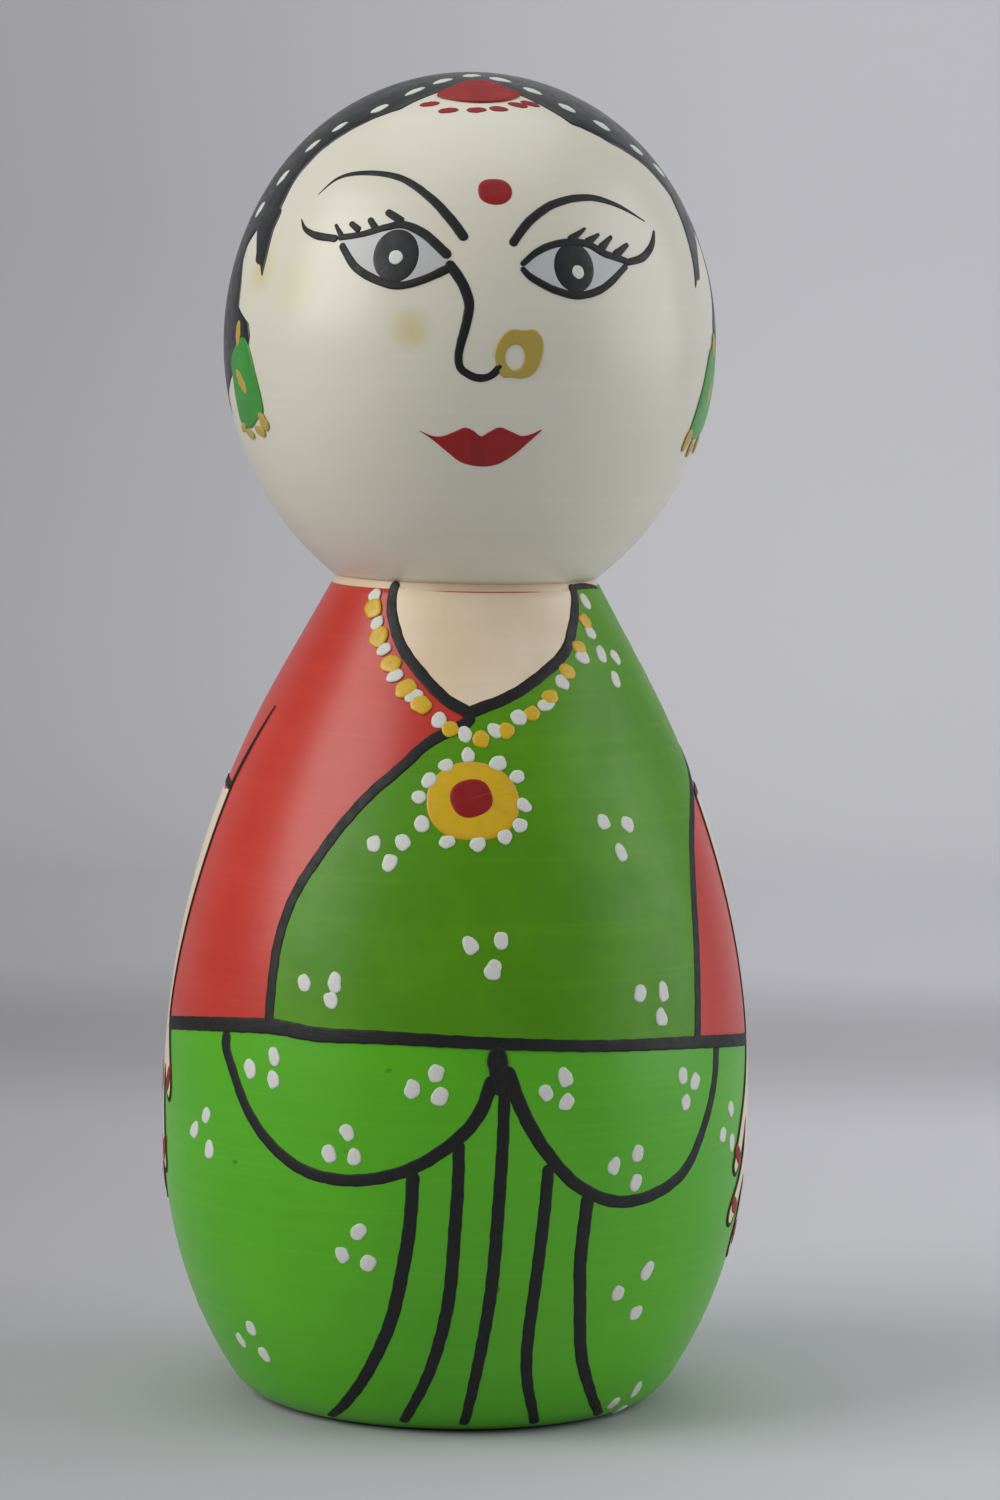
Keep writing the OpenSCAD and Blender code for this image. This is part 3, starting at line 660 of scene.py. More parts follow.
GREY = brushed("grey_paint", (12, 18, 24), (34, 40, 46), rough=0.5, streak=0.4, coat_weight=0.05, dome=True)
GOLD = brushed("gold_paint", (196, 164, 66), (168, 156, 70), rough=0.42, streak=0.6, dome=True)
EMERALD = filled("green_paint", (58, 160, 50), (96, 178, 76), (40, 140, 40), rough=0.4)
YELLOW = brushed("yellow_paint", (226, 184, 22), (200, 156, 26), rough=0.36, streak=0.5, dome=True)
WOOD = wood("turned_wood", (214, 178, 130), (176, 132, 86))
DOWEL = wood("dowel_wood", (200, 160, 112), (160, 118, 76))

for node, material in (("body", WOOD), ("head", WOOD), ("neck_dowel", DOWEL)):
    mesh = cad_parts[node].data
    mesh.materials.clear()
    mesh.materials.append(material)

# ---- coats put on while the wood turns
SKIN_TOP, BLOUSE_TOP, HEM_SHADE_TOP = 92.8, 92.8 - 0.3, 0.5
WAIST = [
    (-83, 42.6), (-53, 44.8), (-40, 45.4), (-30, 45.1), (-16.5, 45.3), (4, 45), (25.4, 44.4), (50.7, 43.6),
    (78, 41.9), (105, 42.4), (140, 43.6), (180, 44.2), (220, 43.4), (250, 42.4),
]


def waist(az):
    """Height of the waist line at an angle."""
    a = (az + 83) % 360 - 83
    xs = [p[0] for p in WAIST] + [WAIST[0][0] + 360]
    zs = [p[1] for p in WAIST] + [WAIST[0][1]]
    return float(np.interp(a, xs, zs))


one = Shells()
coat(one, HEAD_RUN, SEAM_Z + 0.01, TOP_Z, closed_top=True, step=0.8)
one.piece("face_lacquer", IVORY)
one = Shells()
coat(one, BODY_RUN, BLOUSE_TOP, SEAM_Z - 0.02, step=0.15)
one.piece("neck_band", CREAM)
one = Shells()
coat(one, BODY_RUN, waist, BLOUSE_TOP)
one.piece("blouse_lacquer", RED)
one = Shells()
coat(one, BODY_RUN, HEM_SHADE_TOP, waist)
one.piece("skirt_lacquer", GREEN)
# The black band round the foot is partly a painted hem and partly painted shade, standing in for the contact
# shadow where the doll meets the floor.
one = Shells()
coat(one, BODY_RUN, 0.1, HEM_SHADE_TOP, step=0.1)
one.piece("hem_line", BLACK)

# ---- hair
HAIR_EDGE = [
    (180, 100), (210, 100.5), (240, 103), (258, 108), (272, 113), (285, 116), (295.4, 118.4), (296.3, 120.3),
    (295.4, 121.5), (292, 122.3), (288.6, 123.2), (287.8, 125.8), (284.6, 128.6), (284.5, 130.2),
    (287.6, 131.8), (297.9, 133.1), (297.6, 137.5), (301.5, 140.6), (310, 143.1), (325, 145.2), (337, 147.1),
    (352, 148), (3, 148.1), (16, 147.6), (28, 146.2), (37, 144), (50.4, 142), (62.9, 139.6), (69.3, 136.4),
    (71, 133.5), (84.6, 132.4), (86, 130), (82, 126), (77, 122.5), (76.8, 120.1), (78, 117), (88, 113),
    (102, 108), (120, 103), (150, 100.5),
]
HAIR_CENTRE = np.array([0.0, 0.0, 121.0])
# Millimetres of brush coordinate to one radian round the hair
HAIR_ROUND = 25


def hair_cap(shells, rows=46, cols=360):
    """The painted hair, a cap laid out in rings round the back of the head."""
    edge = np.array([place(a, z) for a, z in HAIR_EDGE]) - HAIR_CENTRE
    phi = np.unwrap(np.arctan2(edge[:, 2], edge[:, 0]))
    theta = np.arccos(edge[:, 1] / np.linalg.norm(edge, axis=1))
    order = np.argsort(phi % (2 * pi))
    ph, th = (phi % (2 * pi))[order], theta[order]
    ph = np.concatenate([[ph[-1] - 2 * pi], ph, [ph[0] + 2 * pi]])
    th = np.concatenate([[th[-1]], th, [th[0]]])
    a = np.linspace(0, 2 * pi, cols, endpoint=False)
    limit = np.interp(a, ph, th)
    limit += ripple(a * HAIR_ROUND, 0.0012, 2.3)
    levels = [(f, 1.0) for f in np.linspace(0.02, 0.97, rows)] + [(0.992, 0.85), (1.0, 0.2)]

    def ring(f, lift):
        t = limit * f
        d = np.column_stack([np.cos(a) * np.sin(t), np.cos(t), np.sin(a) * np.sin(t)])
        return snap(HAIR_CENTRE + 27 * d, lift)[0]

    over = [ring(f, LACQUER + (PAINT - LACQUER) * h) for f, h in levels]
    under = [ring(f, LACQUER - ROOT) for f in np.linspace(1.0, 0.02, 12)]
    verts = np.concatenate(over + under)
    n = len(over) + len(under)
    faces = [f[::-1] for f in grid_faces(n, cols)]
    faces += [tuple(range(cols)), tuple((n - 1) * cols + j for j in range(cols))[::-1]]
    coords = np.column_stack([np.tile(a * HAIR_ROUND, n), np.repeat(np.linspace(0, 1, n), cols) * 0.5])
    shells.add(verts, faces, coords)


LEFT_BURN = [
    (-75, 133.2), (-62.4, 134.2), (-61.6, 131.6), (-60.9, 129.2), (-60.9, 127.6), (-61.1, 126.7),
    (-62.3, 127.4), (-63.2, 127.9), (-66.0, 128.3), (-67.2, 129.4), (-70.5, 131.2), (-72.6, 132),
]
RIGHT_BURN = [
    (70.5, 137), (68.2, 133.2), (66.3, 129.2), (64.4, 126.4), (66.4, 127.2), (68.6, 127.4), (71.2, 129.4),
    (76, 131.6), (80, 133.6),
]

one = Shells()
hair_cap(one)
for burn in (LEFT_BURN, RIGHT_BURN):
    patch(one, smooth_places(burn, 0.25, closed=True), scale=0.45, cell=0.8, rim=0.08)
one.piece("hair", HAIR_SHEEN_PAINT, slot="black_paint")

HAIR_DOTS = [
    (-76.6, 134.1), (-71.4, 137.6), (-66, 141.1), (-59, 143.2), (-46, 145.2), (-37, 147.2), (-27, 148.4),
    (-6, 149.1), (19, 148.7), (33.4, 147.5), (43, 145.7), (54.4, 143.9), (64.7, 141.4), (72.8, 139.3),
    (84, 136.4),
]
one = Shells()
points = [place(*p) for p in HAIR_DOTS]
for i, at in enumerate(HAIR_DOTS):
    run = points[min(i + 1, len(points) - 1)] - points[max(i - 1, 0)]
    _, east, up = frame_at(points[i])
    turn = math.degrees(atan2(run @ up, run @ east)) + rng.uniform(-9, 9)
    blob(one, at, 1.2 * rng.uniform(0.85, 1.1), 0.58 * rng.uniform(0.85, 1.15), turn, power=1.6, jag=0.08)
one.piece("hairline_dots", WHITE)

# ---- face
one = Shells()
TIKKA = [
    (-22, 146.8), (-16, 147.9), (-8, 148.5), (0, 148.7), (9, 148.5), (16, 147.9), (22.6, 147.1), (13, 146.3),
    (0, 146), (-12, 146.2),
]
patch(one, smooth_places(TIKKA, 0.2, closed=True), base=PAINT, top=LINE, scale=0.2, cell=0.5, rim=0.1)
one.piece("tikka", RED_PAINT)

one = Shells()
DROPS = [
    (-23, 145.9, 12), (-13.5, 145.2, 10), (-1.8, 145.3, 4), (7.6, 145.5, -4), (17.5, 146, -14),
    (24, 146.2, -26),
]
for a, z, turn in DROPS:
    blob(one, (a, z - 0.1), 1.05, 0.52, turn, base=LACQUER, top=PAINT, jag=0.1, tail=0.1)
one.piece("tikka_drops", RED_PAINT)

one = Shells()
blob(one, (3.4, 136.3), 1.85, 1.6, 0, base=LACQUER, top=PAINT, power=2.3, jag=0.03, spokes=40)
one.piece("bindi", RED_PAINT)

one = Shells()
stroke(one, [(-48.2, 135.7), (-43.3, 137.5), (-34.9, 138.1), (-23.1, 137.6), (-14, 135.6), (-8.1, 133.3),
    (-3.9, 131)], [0.1, 0.4, 0.62, 0.78, 0.95, 1.1, 1.1], LACQUER, PAINT, rough=0.015, sharp=(True, False))
stroke(one, [(6.9, 130.5), (11.7, 133.1), (19.1, 135.1), (29.1, 135.9), (37.8, 135.3), (47.4, 133.5)],
    [0.95, 1.0, 0.95, 0.85, 0.6, 0.15], LACQUER, PAINT, rough=0.02, sharp=(False, True))
one.piece("eyebrows", BLACK)

LEFT_TOP = [(-36.9, 131), (-30.5, 131.4), (-24.1, 132.2), (-19.5, 132.5), (-13.9, 131.5), (-7.6, 129.1)]
LEFT_LOW = [(-35.6, 130.4), (-31, 128.1), (-26.1, 126.8), (-19.8, 126), (-14, 126.6), (-7.5, 128)]
RIGHT_TOP = [(9.1, 128.4), (13.6, 130), (19.4, 130.9), (26.1, 130.9), (30.8, 129.9), (37.9, 129)]
RIGHT_LOW = [(9.1, 128.2), (11.6, 127.1), (16.7, 125.9), (22.8, 125.3), (29.6, 126.2), (37.2, 128.7)]

one = Shells()
for top, low in ((LEFT_TOP, LEFT_LOW), (RIGHT_TOP, RIGHT_LOW)):
    patch(one, smooth_places(top, 0.3) + smooth_places(low, 0.3)[::-1], top=LACQUER + 0.05, scale=0.46,
        cell=0.7, rim=0.08)
one.piece("eye_whites", EYE_WHITE, slot="white_paint")

one = Shells()
blob(one, (-20.6, 129.2), 2.6, 3.0, 0, base=LACQUER + 0.03, top=PAINT, jag=0.01, spokes=56)
blob(one, (22.2, 128.3), 2.4, 2.75, 0, base=LACQUER + 0.03, top=PAINT, jag=0.01, spokes=56)
one.piece("eye_irises", GREY)

one = Shells()
blob(one, (-20.5, 129.0), 0.78, 0.8, 0, base=PAINT, top=PAINT + 0.07, jag=0.04)
blob(one, (23, 127.8), 0.7, 0.74, 0, base=PAINT, top=PAINT + 0.07, jag=0.05)
one.piece("eye_glints", WHITE)

one = Shells()
eye = dict(base=LACQUER + 0.02, top=PAINT + 0.03, rough=0.02)
stroke(one, LEFT_TOP, [0.75, 0.75, 0.85, 0.95, 1.05, 1.1], **eye)
stroke(one, LEFT_LOW, [0.8, 0.95, 0.95, 0.9, 0.9, 1.0], **eye)
stroke(one, [(-51, 133), (-48.2, 131.9), (-43.3, 131.2), (-36.9, 130.9)], [0.12, 0.55, 0.85, 0.85],
    sharp=(True, False), **eye)
stroke(one, RIGHT_TOP, [0.6, 0.8, 0.85, 0.9, 0.9, 0.8], **eye)
stroke(one, RIGHT_LOW, [0.6, 0.8, 0.85, 0.85, 0.85, 0.7], **eye)
stroke(one, [(37, 128.9), (43.1, 129.6), (47.5, 131), (50, 132.5)], [0.75, 0.9, 0.75, 0.3],
    sharp=(False, True), **eye)
LASHES = [
    ((-35.9, 131.2), (-38.7, 132.5), (0.7, 0.35)), ((-31.0, 131.8), (-34.4, 132.7), (0.85, 0.6)),
    ((-26.6, 132.0), (-29.2, 133.2), (0.8, 0.7)), ((-19.8, 132.8), (-24.9, 134), (0.95, 0.8)),
    ((21.5, 131.1), (26.8, 132.6), (1.1, 0.3)), ((26, 130.9), (30.5, 132), (1.1, 0.35)),
    ((29.8, 130.3), (34.2, 131.8), (1.1, 0.4)), ((33.6, 129.6), (38.9, 131), (1.1, 0.5)),
]
for root, tip, w in LASHES:
    stroke(one, [root, ((root[0] + tip[0]) / 2, (root[1] + tip[1]) / 2), tip], w, **eye)
one.piece("eye_lines", BLACK)

one = Shells()
stroke(one, [(-8.2, 128.7), (-6, 127.4), (-4, 125.9), (-2.9, 124.2), (-3.2, 122.6), (-4.1, 120.8),
    (-5, 118.8), (-4.7, 117.5), (-3.3, 116.8), (-0.9, 116.3), (1.6, 116.4), (3.4, 117), (4.7, 117.9)],
    [1.15, 1.15, 1.15, 1.1, 1.05, 1.0, 0.9, 0.85, 0.85, 0.85, 0.8, 0.85, 0.75], LACQUER, PAINT, rough=0.02,
    step=0.2)
one.piece("nose_line", BLACK)

one = Shells()
ring_out = [(3.6, 117.4), (3.0, 118.9), (4.0, 120.4), (6.4, 121.5), (9.4, 121.5), (12.3, 121.5),
    (14.1, 120.3), (13.8, 118.4), (12.2, 116.9), (9.6, 116.3), (6.6, 116.4), (5, 116.4)]
ring_in = [(5.6, 118.1), (5.8, 119.3), (7.4, 119.9), (9.0, 119.7), (9.8, 118.8), (9.2, 117.6), (7.2, 117.2)]
patch(one, smooth_places(ring_out, 0.2, closed=True), base=LACQUER, top=PAINT, scale=0.46, cell=0.5, rim=0.1,
    hole=smooth_places(ring_in, 0.2, closed=True))
one.piece("nose_ring", GOLD)

one = Shells()
LIPS = [
    (-14.2, 110.5), (-11.5, 110.0), (-9, 109.9), (-6, 110.4), (-3.4, 110.9), (-1.4, 110.6), (0.5, 110.0),
    (2.4, 110.5), (4.8, 111), (7.4, 110.6), (10.2, 110.1), (12.4, 110.3), (15, 110.8), (12, 109.4),
    (8.9, 108.1), (5, 107), (0.7, 106.7), (-4, 107.1), (-7.2, 108.1), (-11, 109.5),
]
patch(one, smooth_places(LIPS, 0.2, closed=True), scale=0.45, cell=0.6, rim=0.1)
one.piece("lips", RED_PAINT)

one = Shells()
EAR_LEFT = [
    (-71.9, 119.1), (-67.4, 120), (-64, 118.9), (-61.2, 115.9), (-59.8, 113.2), (-60.4, 111.6), (-63.8, 111),
    (-68.7, 110), (-75, 110.4), (-75.5, 112.5), (-75.4, 115.2), (-75.6, 117.4),
]
EAR_RIGHT = [
    (72, 119), (76, 120), (80, 119), (84, 115.9), (84.5, 113.2), (82, 111), (76, 109.8), (70, 109.6),
    (66.2, 110.4), (66.8, 112.4), (69, 115.5),
]
for ear in (EAR_LEFT, EAR_RIGHT):
    patch(one, smooth_places(ear, 0.3, closed=True), base=LACQUER + 0.08, top=PAINT + 0.06, scale=0.45,
        cell=0.8)
one.piece("earrings", EMERALD)

one = Shells()
gold = dict(base=PAINT, top=LINE, jag=0.12)
GOLD_DABS = [
    ((-70.1, 120.4), 1.55, 0.65, 88), ((-69.3, 115.1), 1.9, 0.7, -48), ((-60.8, 110.8), 1.2, 0.8, 120),
    ((-63.6, 109.7), 1.1, 0.6, 170), ((-70.4, 109.3), 1.3, 0.5, 165), ((-74, 110), 1.0, 0.5, 200),
    ((76.5, 119.9), 1.5, 0.7, 92), ((76, 114.6), 1.4, 0.7, 84), ((66.2, 109.6), 1.4, 0.8, 70),
    ((71, 108.6), 1.1, 0.6, 80), ((77.5, 108.9), 1.1, 0.6, 90),
]
for at, a, b, turn in GOLD_DABS:
    blob(one, at, a, b, turn, **gold)
one.piece("earring_gold", GOLD)

# ---- skin, sari and arms
NECK_LEFT = [(-34, 93.4), (-33.4, 91.8), (-31.4, 90), (-24.7, 86.7), (-16.7, 84), (-8.2, 81.3), (-0.2, 79.6)]
NECK_RIGHT = [(-0.2, 79.6), (10.7, 81.4), (21.6, 83.5), (33.4, 86), (41.1, 88.7), (47.5, 91.2), (51, 93.2)]
DRAPE_LEFT = [
    (0.4, 79.5), (-3, 78.3), (-11.1, 76.6), (-18.3, 73.6), (-25.2, 70.6), (-31.5, 66.7), (-35.3, 63.6),
    (-38.2, 61), (-40.4, 58), (-41.7, 54.2), (-41.8, 50), (-41.5, 45.4),
]
DRAPE_RIGHT = [
    (92, 74.2), (86, 73.2), (78, 71), (70, 68.6), (63.2, 65.4), (58.8, 61.4), (56, 57), (53.4, 50.5),
    (51.4, 43.8),
]
SLEEVE_BACK = [(128, 43.3), (124, 54), (118, 63), (108, 70.6), (99, 73.8), (92, 74.2)]
PALLU_EDGE = [(190, 92.8), (191, 86), (193, 78), (198, 66), (203, 54), (206, 44)]

one = Shells()
left = [p for p in smooth_places(NECK_LEFT, 0.5) if p[1] < SKIN_TOP]
right = [p for p in smooth_places(NECK_RIGHT, 0.5) if p[1] < SKIN_TOP]
patch(one, [(left[0][0], SKIN_TOP + 0.25)] + left + right[1:] + [(right[-1][0], SKIN_TOP + 0.25)],
    scale=0.28, cell=0.8)
one.piece("neck_skin", SKIN)

one = Shells()
drape = right + [(a, SKIN_TOP) for a in np.arange(53, 190, 2.0)]
drape += smooth_places(PALLU_EDGE, 0.8)
drape += [(a, waist(a)) for a in np.arange(204, 129, -2.0)]
drape += smooth_places(SLEEVE_BACK, 0.8)[:-1] + smooth_places(DRAPE_RIGHT, 0.8)
drape += [(a, waist(a)) for a in np.arange(50, -41, -1.5)]
drape += smooth_places(DRAPE_LEFT, 0.8)[::-1][:-1]
patch(one, drape, scale=0.48, cell=1.4)
one.piece("sari_drape", DRAPE, "sari_drape", "pallu")

ARM_FRONT = [(78, 69.6), (79.5, 61.5), (81.3, 55.1), (83.2, 48.9), (84, 44.2)]
HAND_LEFT = [
    (81.4, 41.4), (78.4, 38.4), (77.0, 35.6), (78.8, 34.2), (81.5, 35.6), (84.4, 38), (84.8, 34),
    (83.4, 30.5), (81.3, 27.6), (81.8, 25.8), (84.6, 26.6), (87, 30), (87.4, 27), (87.2, 23.6), (89.4, 22),
    (91.5, 24.2), (91.8, 29), (93.6, 25), (96, 23.8), (97.4, 26), (96.4, 30.5), (99, 28.4), (101.4, 28.6),
    (101.4, 31.4), (100, 36), (99.6, 40),
]
HAND_RIGHT = [
    (80, 40), (75.4, 35.5), (70.6, 31), (68, 28.4), (69.6, 27.3), (73.4, 29.3), (78, 33), (76.4, 29.6),
    (72.6, 26.4), (68.2, 23.4), (69.2, 21.4), (73, 22.4), (78.4, 26.6), (77.6, 22.6), (76.2, 18.4),
    (78.6, 17.2), (82, 20.4), (84.6, 26), (85.2, 21), (86, 17.2), (88.6, 17.6), (90, 22), (90.6, 27.6),
    (93, 23.4), (95.6, 23), (96.4, 26.4), (96.8, 33), (98, 39.4),
]
ARM_BACK = [(97.6, 45), (98.8, 53), (101.5, 61), (105, 69.6)]

arms = {}
for side, hand in ((-1, HAND_LEFT), (1, HAND_RIGHT)):
    outline = [(side * a, z) for a, z in ARM_FRONT + hand + ARM_BACK]
    arms[side] = smooth_places(outline, 0.35)
for side, name in ((-1, "left_arm"), (1, "right_arm")):
    one = Shells()
    patch(one, arms[side], base=LACQUER + 0.02, top=PAINT + 0.02, scale=0.55, cell=0.9)
    one.piece(name, SKIN)

one = Shells()
henna = dict(base=PAINT, top=LINE, jag=0.1)
HENNA_TIPS = [
    (-1, [(-79.2, 36.6, 60), (-83.2, 28.4, 55), (-89.4, 24.6, 88), (-95.6, 26.2, 110), (-100.6, 30.2, 115)]),
    (1, [(70.8, 29.4, 135), (71.4, 23.6, 145), (78.4, 19.8, 110), (87.2, 19.6, 92), (94.8, 24.8, 80)]),
]
for side, tips in HENNA_TIPS:
    for a, z, turn in tips:
        blob(one, (a, z), 1.7, 0.85, turn, **henna)
    blob(one, (side * 91, 36), 1.9, 1.9, 0, **henna)
one.piece("henna", RED_PAINT)

# ---- black lines on the clothes
one = Shells()
stroke(one, NECK_LEFT, [1.1, 1.2, 1.25, 1.25, 1.3, 1.35, 1.4])
stroke(one, [(-2.2, 79.5)] + NECK_RIGHT[1:], [1.5, 1.3, 1.3, 1.3, 1.25, 1.2])
stroke(one, [(51.5, 92.9), (62, 92.9), (74, 92.6)], [0.8, 0.7, 0.4], sharp=(False, True))
one.piece("neckline", BLACK)

one = Shells()
stroke(one, DRAPE_LEFT, [1.45, 1.4] + [1.3] * 10)
stroke(one, SLEEVE_BACK[:-1] + DRAPE_RIGHT, 1.25)
stroke(one, PALLU_EDGE, 1.1)
one.piece("drape_edges", BLACK)

one = Shells()
stroke(one, [p for p in WAIST if p[0] <= 78] + [(81.5, 41.8)],
    [1.5, 1.6, 1.7, 1.6, 1.45, 1.35, 1.3, 1.4, 1.4, 1.3])
stroke(one, [(100, 42.2)] + [p for p in WAIST if p[0] > 104] + [(259, 42.2)], 1.4)
blob(one, (5.2, 43.2), 1.5, 1.1, 90, jag=0.05)
stroke(one, [(5.4, 44), (5.4, 41.6), (5.6, 39.4)], [2.4, 1.9, 1.0])
one.piece("waist_line", BLACK)

on_skirt = dict(base=LACQUER, top=LACQUER + 0.07)
one = Shells()
stroke(one, [(-53.1, 44.2), (-53, 42.4), (-50.6, 40.1), (-45.8, 35.9), (-39.6, 32.5), (-31.5, 30.1),
    (-21.9, 29.6), (-12.1, 30.9), (-4.2, 33.6), (1.5, 37), (4.6, 41.5)],
    [1.7, 1.5, 1.35, 1.35, 1.35, 1.35, 1.35, 1.4, 1.45, 1.5, 1.6], **on_skirt)
stroke(one, [(6.8, 42.5), (10.3, 37.4), (14.9, 33.1), (21.3, 29.3), (29.8, 27.2), (39.3, 27.6), (47.9, 29.9),
    (54, 34.6), (57.6, 39.1), (59, 43.2)], [1.6, 1.6, 1.5, 1.45, 1.4, 1.4, 1.4, 1.3, 1.3, 1.5], **on_skirt)
one.piece("skirt_scallops", BLACK)

one = Shells()
PLEATS = [
    ([(-10.2, 31), (-10.6, 26), (-11.7, 21.4), (-14.9, 14.1), (-21.3, 7.7), (-29, 3.4), (-37.6, 0.9)],
     [1.45, 1.45, 1.5, 1.45, 1.35, 1.2, 0.9]),
    ([(-1.8, 34.5), (-1.8, 30), (-2.2, 25.1), (-3.3, 16.2), (-7.1, 8.2), (-15.1, 1.3)],
     [1.3, 1.35, 1.4, 1.4, 1.3, 1.1]),
    ([(6.6, 41), (6.4, 34), (5.8, 26.4), (5.1, 17.6), (3.3, 8.3), (1.1, 1.2)],
     [1.3, 1.35, 1.4, 1.4, 1.3, 1.1]),
    ([(15.3, 31.8), (14.8, 27), (14.2, 21.5), (13.7, 12.9), (15.1, 7.1), (21.2, 1)],
     [1.35, 1.4, 1.4, 1.4, 1.3, 1.1]),
    ([(23.5, 28.4), (22.9, 23), (23.3, 18.6), (26.8, 10.1), (34, 4.4), (43, 1)],
     [1.6, 1.6, 1.55, 1.5, 1.3, 1.1]),
]
for path, w in PLEATS:
    stroke(one, path, w, **on_skirt)
one.piece("skirt_pleats", BLACK)

one = Shells()
for side in (-1, 1):
    stroke(one, arms[side][::4] + [arms[side][-1]], 0.6, base=PAINT - 0.04, top=PAINT + 0.04)
    stroke(one, [(side * 77.4, 69.6), (side * 91, 70), (side * 105.6, 69.6)], 0.9)
    if side < 0:
        stroke(one, [(-70.6, 79), (-74.6, 74.6), (-78.4, 69.8)], [0.25, 0.6, 0.8], sharp=(True, False))
    stroke(one, [(side * 105, 69.8), (side * 109, 74.6), (side * 113, 79)], [0.8, 0.6, 0.25],
        sharp=(False, True))
one.piece("arm_lines", BLACK)

# ---- jewellery
one = Shells()
YELLOW_BEADS = [
    (-40.7, 90.4), (-34, 87.4), (-26.6, 84.6), (-20, 82.1), (-14.7, 80.5), (-5.9, 78), (2.4, 77),
    (9.3, 77.9), (17.3, 79.7), (23.9, 81.4), (32.3, 84), (40.7, 86.5), (49.1, 89.2),
]
for at in YELLOW_BEADS:
    big = 1.2 if at[0] < -10 else 0.95
    blob(one, at, big * rng.uniform(0.95, 1.1), big * rng.uniform(0.8, 1.0), rng.uniform(0, 180), base=PAINT,
        top=LINE + 0.05, power=2.5, jag=0.08)
one.piece("necklace_yellow", YELLOW)

one = Shells()
WHITE_BEADS = [
    (-42.1, 91.7), (-36.5, 88.8), (-30.5, 86.1), (-24.3, 83.4), (-17.4, 81.4), (-9.1, 78.9), (-1.9, 77.5),
    (6.5, 77.9), (13.3, 79.3), (22.1, 80.6), (29.3, 82.9), (40.7, 85.5), (49.5, 88), (54.7, 91.3),
]
for at in WHITE_BEADS:
    blob(one, at, rng.uniform(0.85, 1.1), rng.uniform(0.72, 0.9), rng.uniform(0, 180), base=PAINT,
        top=LINE + 0.02, jag=0.1)
one.piece("necklace_white", WHITE)

one = Shells()
blob(one, (0.2, 70.5), 5.1, 4.4, 0, base=PAINT, top=LINE, power=2.2, jag=0.025, spokes=80)
one.piece("pendant", YELLOW)
one = Shells()
blob(one, (-0.2, 70.8), 2.25, 2.1, 20, base=LINE, top=LINE + 0.1, power=2.4, jag=0.02, spokes=48)
one.piece("pendant_centre", RED_PAINT)
one = Shells()
PENDANT_RING = [
    (-1, 75.3), (-6.5, 74.2), (-10.5, 72.6), (-12.6, 70.8), (-11.4, 68), (-5.5, 66.2), (1.3, 66),
    (7.4, 66.8), (11, 68), (12.3, 70.1), (11.2, 73.1), (6.6, 74.5),
]
for at in PENDANT_RING:
    blob(one, at, rng.uniform(0.82, 1.0), rng.uniform(0.7, 0.85), rng.uniform(0, 180), base=PAINT,
        top=LINE + 0.04, jag=0.1)
one.piece("pendant_dots", WHITE)

# ---- dots of the cloth

def dot(shells, at, base, top):
    """One dab of the round brush."""
    blob(shells, at, rng.uniform(0.88, 1.06), rng.uniform(0.74, 0.9), rng.uniform(50, 130), base=base,
        top=top, jag=0.09, power=2.5, tail=rng.choice([0.0, 0.0, 0.25]))


def triple(at, spread=2.0):
    """Three places round one, as the dots lie on the cloth."""
    turn = rng.uniform(-15, 15)
    size = 180 / (pi * wood_r(at[1]))
    return [(at[0] + spread * size * cos(radians(a + turn)), at[1] + spread * sin(radians(a + turn)))
        for a in (90, 210, 330)]


DRAPE_DOTS = [
    (-22, 65.7), (-15.4, 66), (-17.9, 63.8), (32.2, 68.1), (39.1, 67.7), (35.6, 64.7), (50.6, 85.6),
    (58.4, 85.2), (52.6, 82.9), (-33.9, 50.4), (-27.2, 50.7), (-27.7, 48.9), (-0.1, 55.3), (6, 55.9),
    (4.3, 52.7), (35.8, 49.7), (42, 49.5), (40.9, 46.8),
]
DRAPE_BACK = [(176, 62), (192, 52), (158, 51), (146, 67), (170, 80), (120, 82), (142, 84), (92, 84)]
one = Shells()
for at in DRAPE_DOTS + [q for p in DRAPE_BACK for q in triple(p)]:
    dot(one, at, PAINT, LINE)
one.piece("drape_dots", WHITE)

SKIRT_DOTS = [
    (-45.5, 40.4), (-39.6, 42.1), (-39.5, 39.6), (-10.7, 39.9), (-6.3, 41.7), (-5.5, 39.2), (-26.7, 32.3),
    (-23.1, 34.8), (-21.6, 32.1), (14.6, 39.6), (18.5, 41.1), (18.7, 38.5), (46.4, 40.2), (50.2, 39.3),
    (47.2, 37.2), (28.9, 31.1), (34.4, 32.3), (34.1, 29.1), (-58.5, 34.3), (-63.1, 32.2), (-57.2, 30.5),
    (65.4, 35.1), (61.4, 32.5), (66.4, 31.2), (-20.8, 23.9), (-24.2, 21.2), (-19, 20.5), (39.4, 18.7),
    (32.8, 16.6), (39, 13.9), (-51.7, 10.6), (-57.9, 8.6), (-50.3, 7.6), (44.5, 2.4), (51.6, 3.5),
    (52.8, 0.9),
]
SKIRT_BACK = [(a, z) for z, first, last in ((35, 122, 245), (23, 107, 260), (11, 90, 275))
    for a in range(first, last, 30)]
one = Shells()
for at in SKIRT_DOTS + [q for p in SKIRT_BACK for q in triple(p)]:
    dot(one, at, LACQUER, PAINT + 0.02)
one.piece("skirt_dots", WHITE)

# ---- stage, light and camera

def staged(name, verts, faces, material):
    mesh = bpy.data.meshes.new(name)
    mesh.from_pydata(verts, [], faces)
    mesh.polygons.foreach_set("use_smooth", [True] * len(mesh.polygons))
    mesh.materials.append(material)
    added(name, mesh)


WALL_Y, SWEEP_R, FOLD_Y = 0.64, 0.14, 0.27


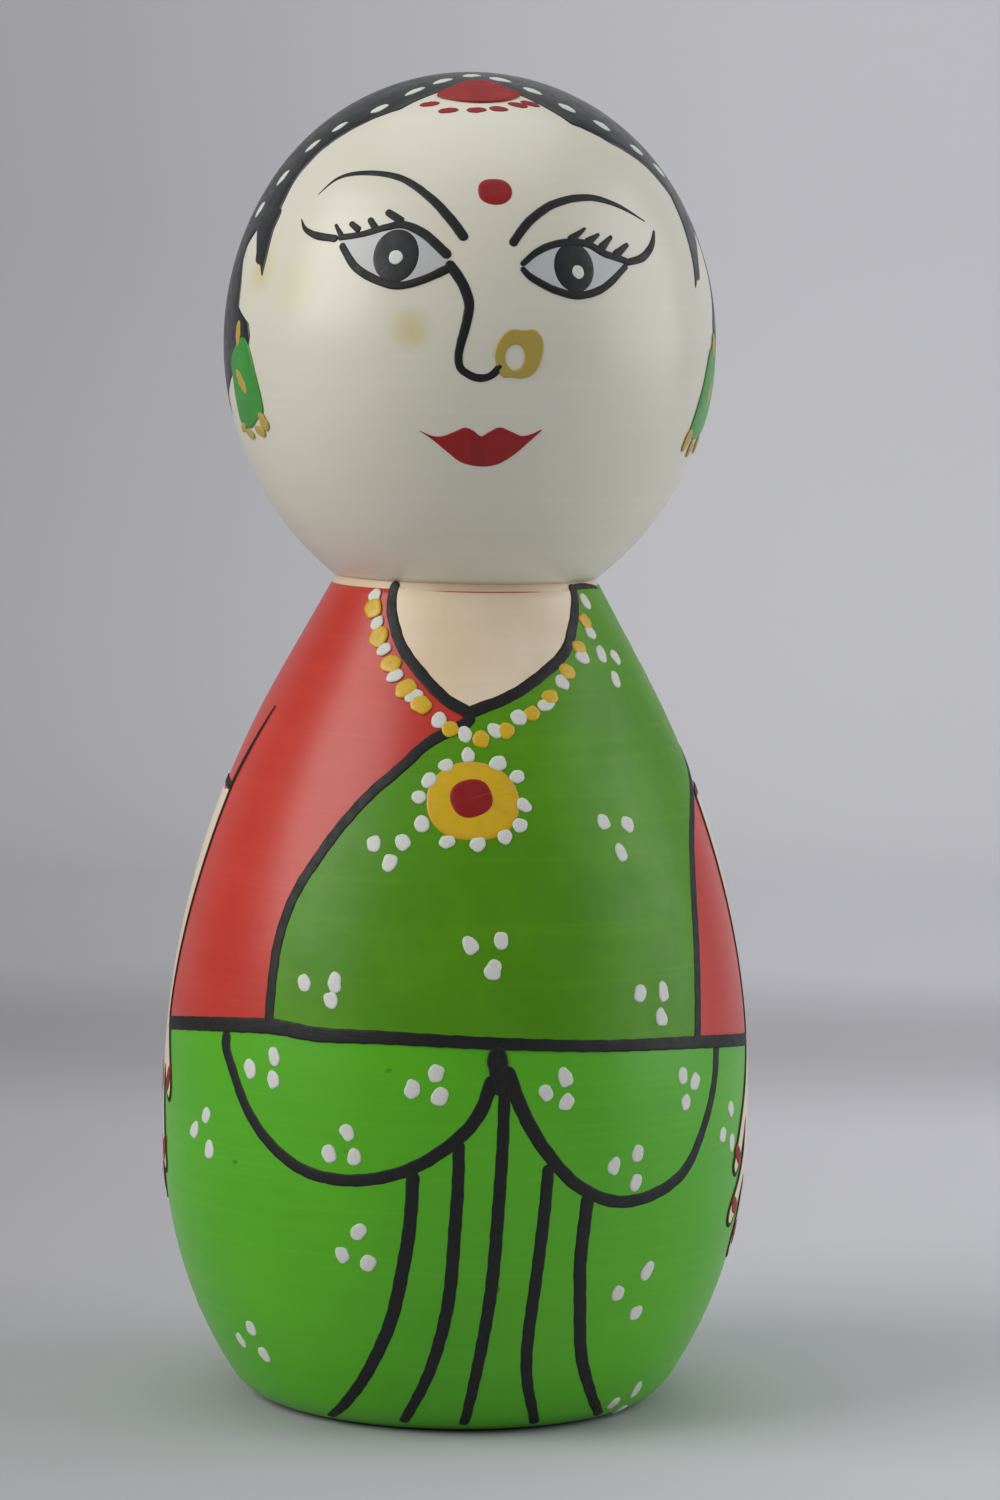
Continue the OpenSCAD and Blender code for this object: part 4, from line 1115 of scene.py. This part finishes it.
def backdrop_material():
    m = Nodes("backdrop_painted_light_and_shade")
    cloud = m.noise(6, 3, 0.5)
    sep = m.new("ShaderNodeSeparateXYZ")
    m.link(m.coord, sep.inputs["Vector"])
    across = m.math("ADD", sep.outputs["X"], m.math("MULTIPLY", cloud, 0.02))
    # Painted shade: darker on the left; painted light: a little lighter beyond the fold, where the lamps
    # reach the far paper less
    side = m.ramp(across, -0.12, 0.13)
    near_paper_painted_shade = m.mix(side, linear((168, 168, 172)), linear((214, 214, 219)))
    far_paper_painted_light = m.mix(side, linear((186, 186, 190)), linear((219, 219, 223)))
    colour = m.mix(m.ramp(sep.outputs["Y"], FOLD_Y, FOLD_Y + 0.3), near_paper_painted_shade, far_paper_painted_light)
    # Painted shade: a soft darker band crosses the paper behind the doll, where the floor turns up into the
    # wall
    fold_shade_distance = m.new("ShaderNodeVectorMath", operation="DISTANCE")
    flat = m.new("ShaderNodeCombineXYZ")
    m.link(sep.outputs["Y"], flat.inputs["Y"])
    m.link(sep.outputs["Z"], flat.inputs["Z"])
    m.link(flat.outputs["Vector"], fold_shade_distance.inputs[0])
    fold_shade_distance.inputs[1].default_value = (0, FOLD_Y, 0)
    colour = m.mix(m.ramp(fold_shade_distance.outputs["Value"], 0.01, 0.1, (0.35, 0.0)), colour, linear((120, 120, 124)))
    m.link(colour, m.bsdf.inputs["Base Color"])
    m.set(Roughness=0.9, IOR=1.3)
    return m.mat


profile = [(-1.6, 0.0), (WALL_Y - SWEEP_R, 0.0)]
profile += [(WALL_Y - SWEEP_R + SWEEP_R * sin(t), SWEEP_R - SWEEP_R * cos(t))
    for t in np.linspace(0.1, pi / 2, 14)]
profile += [(WALL_Y, 2.0)]
verts = [(x, y, z) for x in (-2.0, 2.0) for y, z in profile]
k = len(profile)
staged("backdrop", verts, [(j, j + k, j + k + 1, j + 1) for j in range(k - 1)], backdrop_material())


def lamp(name, at, aim, size, watts, colour=(1, 1, 1)):
    data = bpy.data.lights.new(name, "AREA")
    data.shape = "RECTANGLE"
    data.size, data.size_y = size
    data.energy = watts
    data.color = colour
    obj = added(name, data)
    obj.location = at
    obj.rotation_euler = (Vector(aim) - Vector(at)).to_track_quat("-Z", "Y").to_euler()


middle = (0, 0, 0.08)
lamp("key_left", (-0.62, -0.22, 0.42), middle, (0.55, 0.55), 3.5, (1, 0.98, 0.95))
lamp("fill_right", (0.75, -0.05, 0.35), middle, (0.7, 0.7), 2.8, (0.98, 0.985, 1))
lamp("top", (0, 0.05, 0.9), middle, (0.8, 0.8), 2.1)

world = bpy.data.worlds.new("studio")
world.use_nodes = True
world.node_tree.nodes["Background"].inputs["Color"].default_value = (0.8, 0.82, 0.86, 1)
world.node_tree.nodes["Background"].inputs["Strength"].default_value = 0.24
bpy.context.scene.world = world
bpy.context.scene.view_settings.view_transform = "Standard"

camera = bpy.data.cameras.new("camera")
camera.sensor_fit = "VERTICAL"
camera.sensor_height = 36
camera.sensor_width = 24
camera.lens = 120
camera.clip_start = 0.01
viewer = added("camera", camera)
turn = Matrix.Rotation(radians(-3), 4, "Z")
viewer.matrix_world = (turn @ Matrix.Translation((4.3 * MM, -565.2 * MM, 125.77 * MM))
    @ Matrix.Rotation(radians(90 - 5.26), 4, "X") @ Matrix.Rotation(radians(1.117), 4, "Z"))
bpy.context.scene.camera = viewer
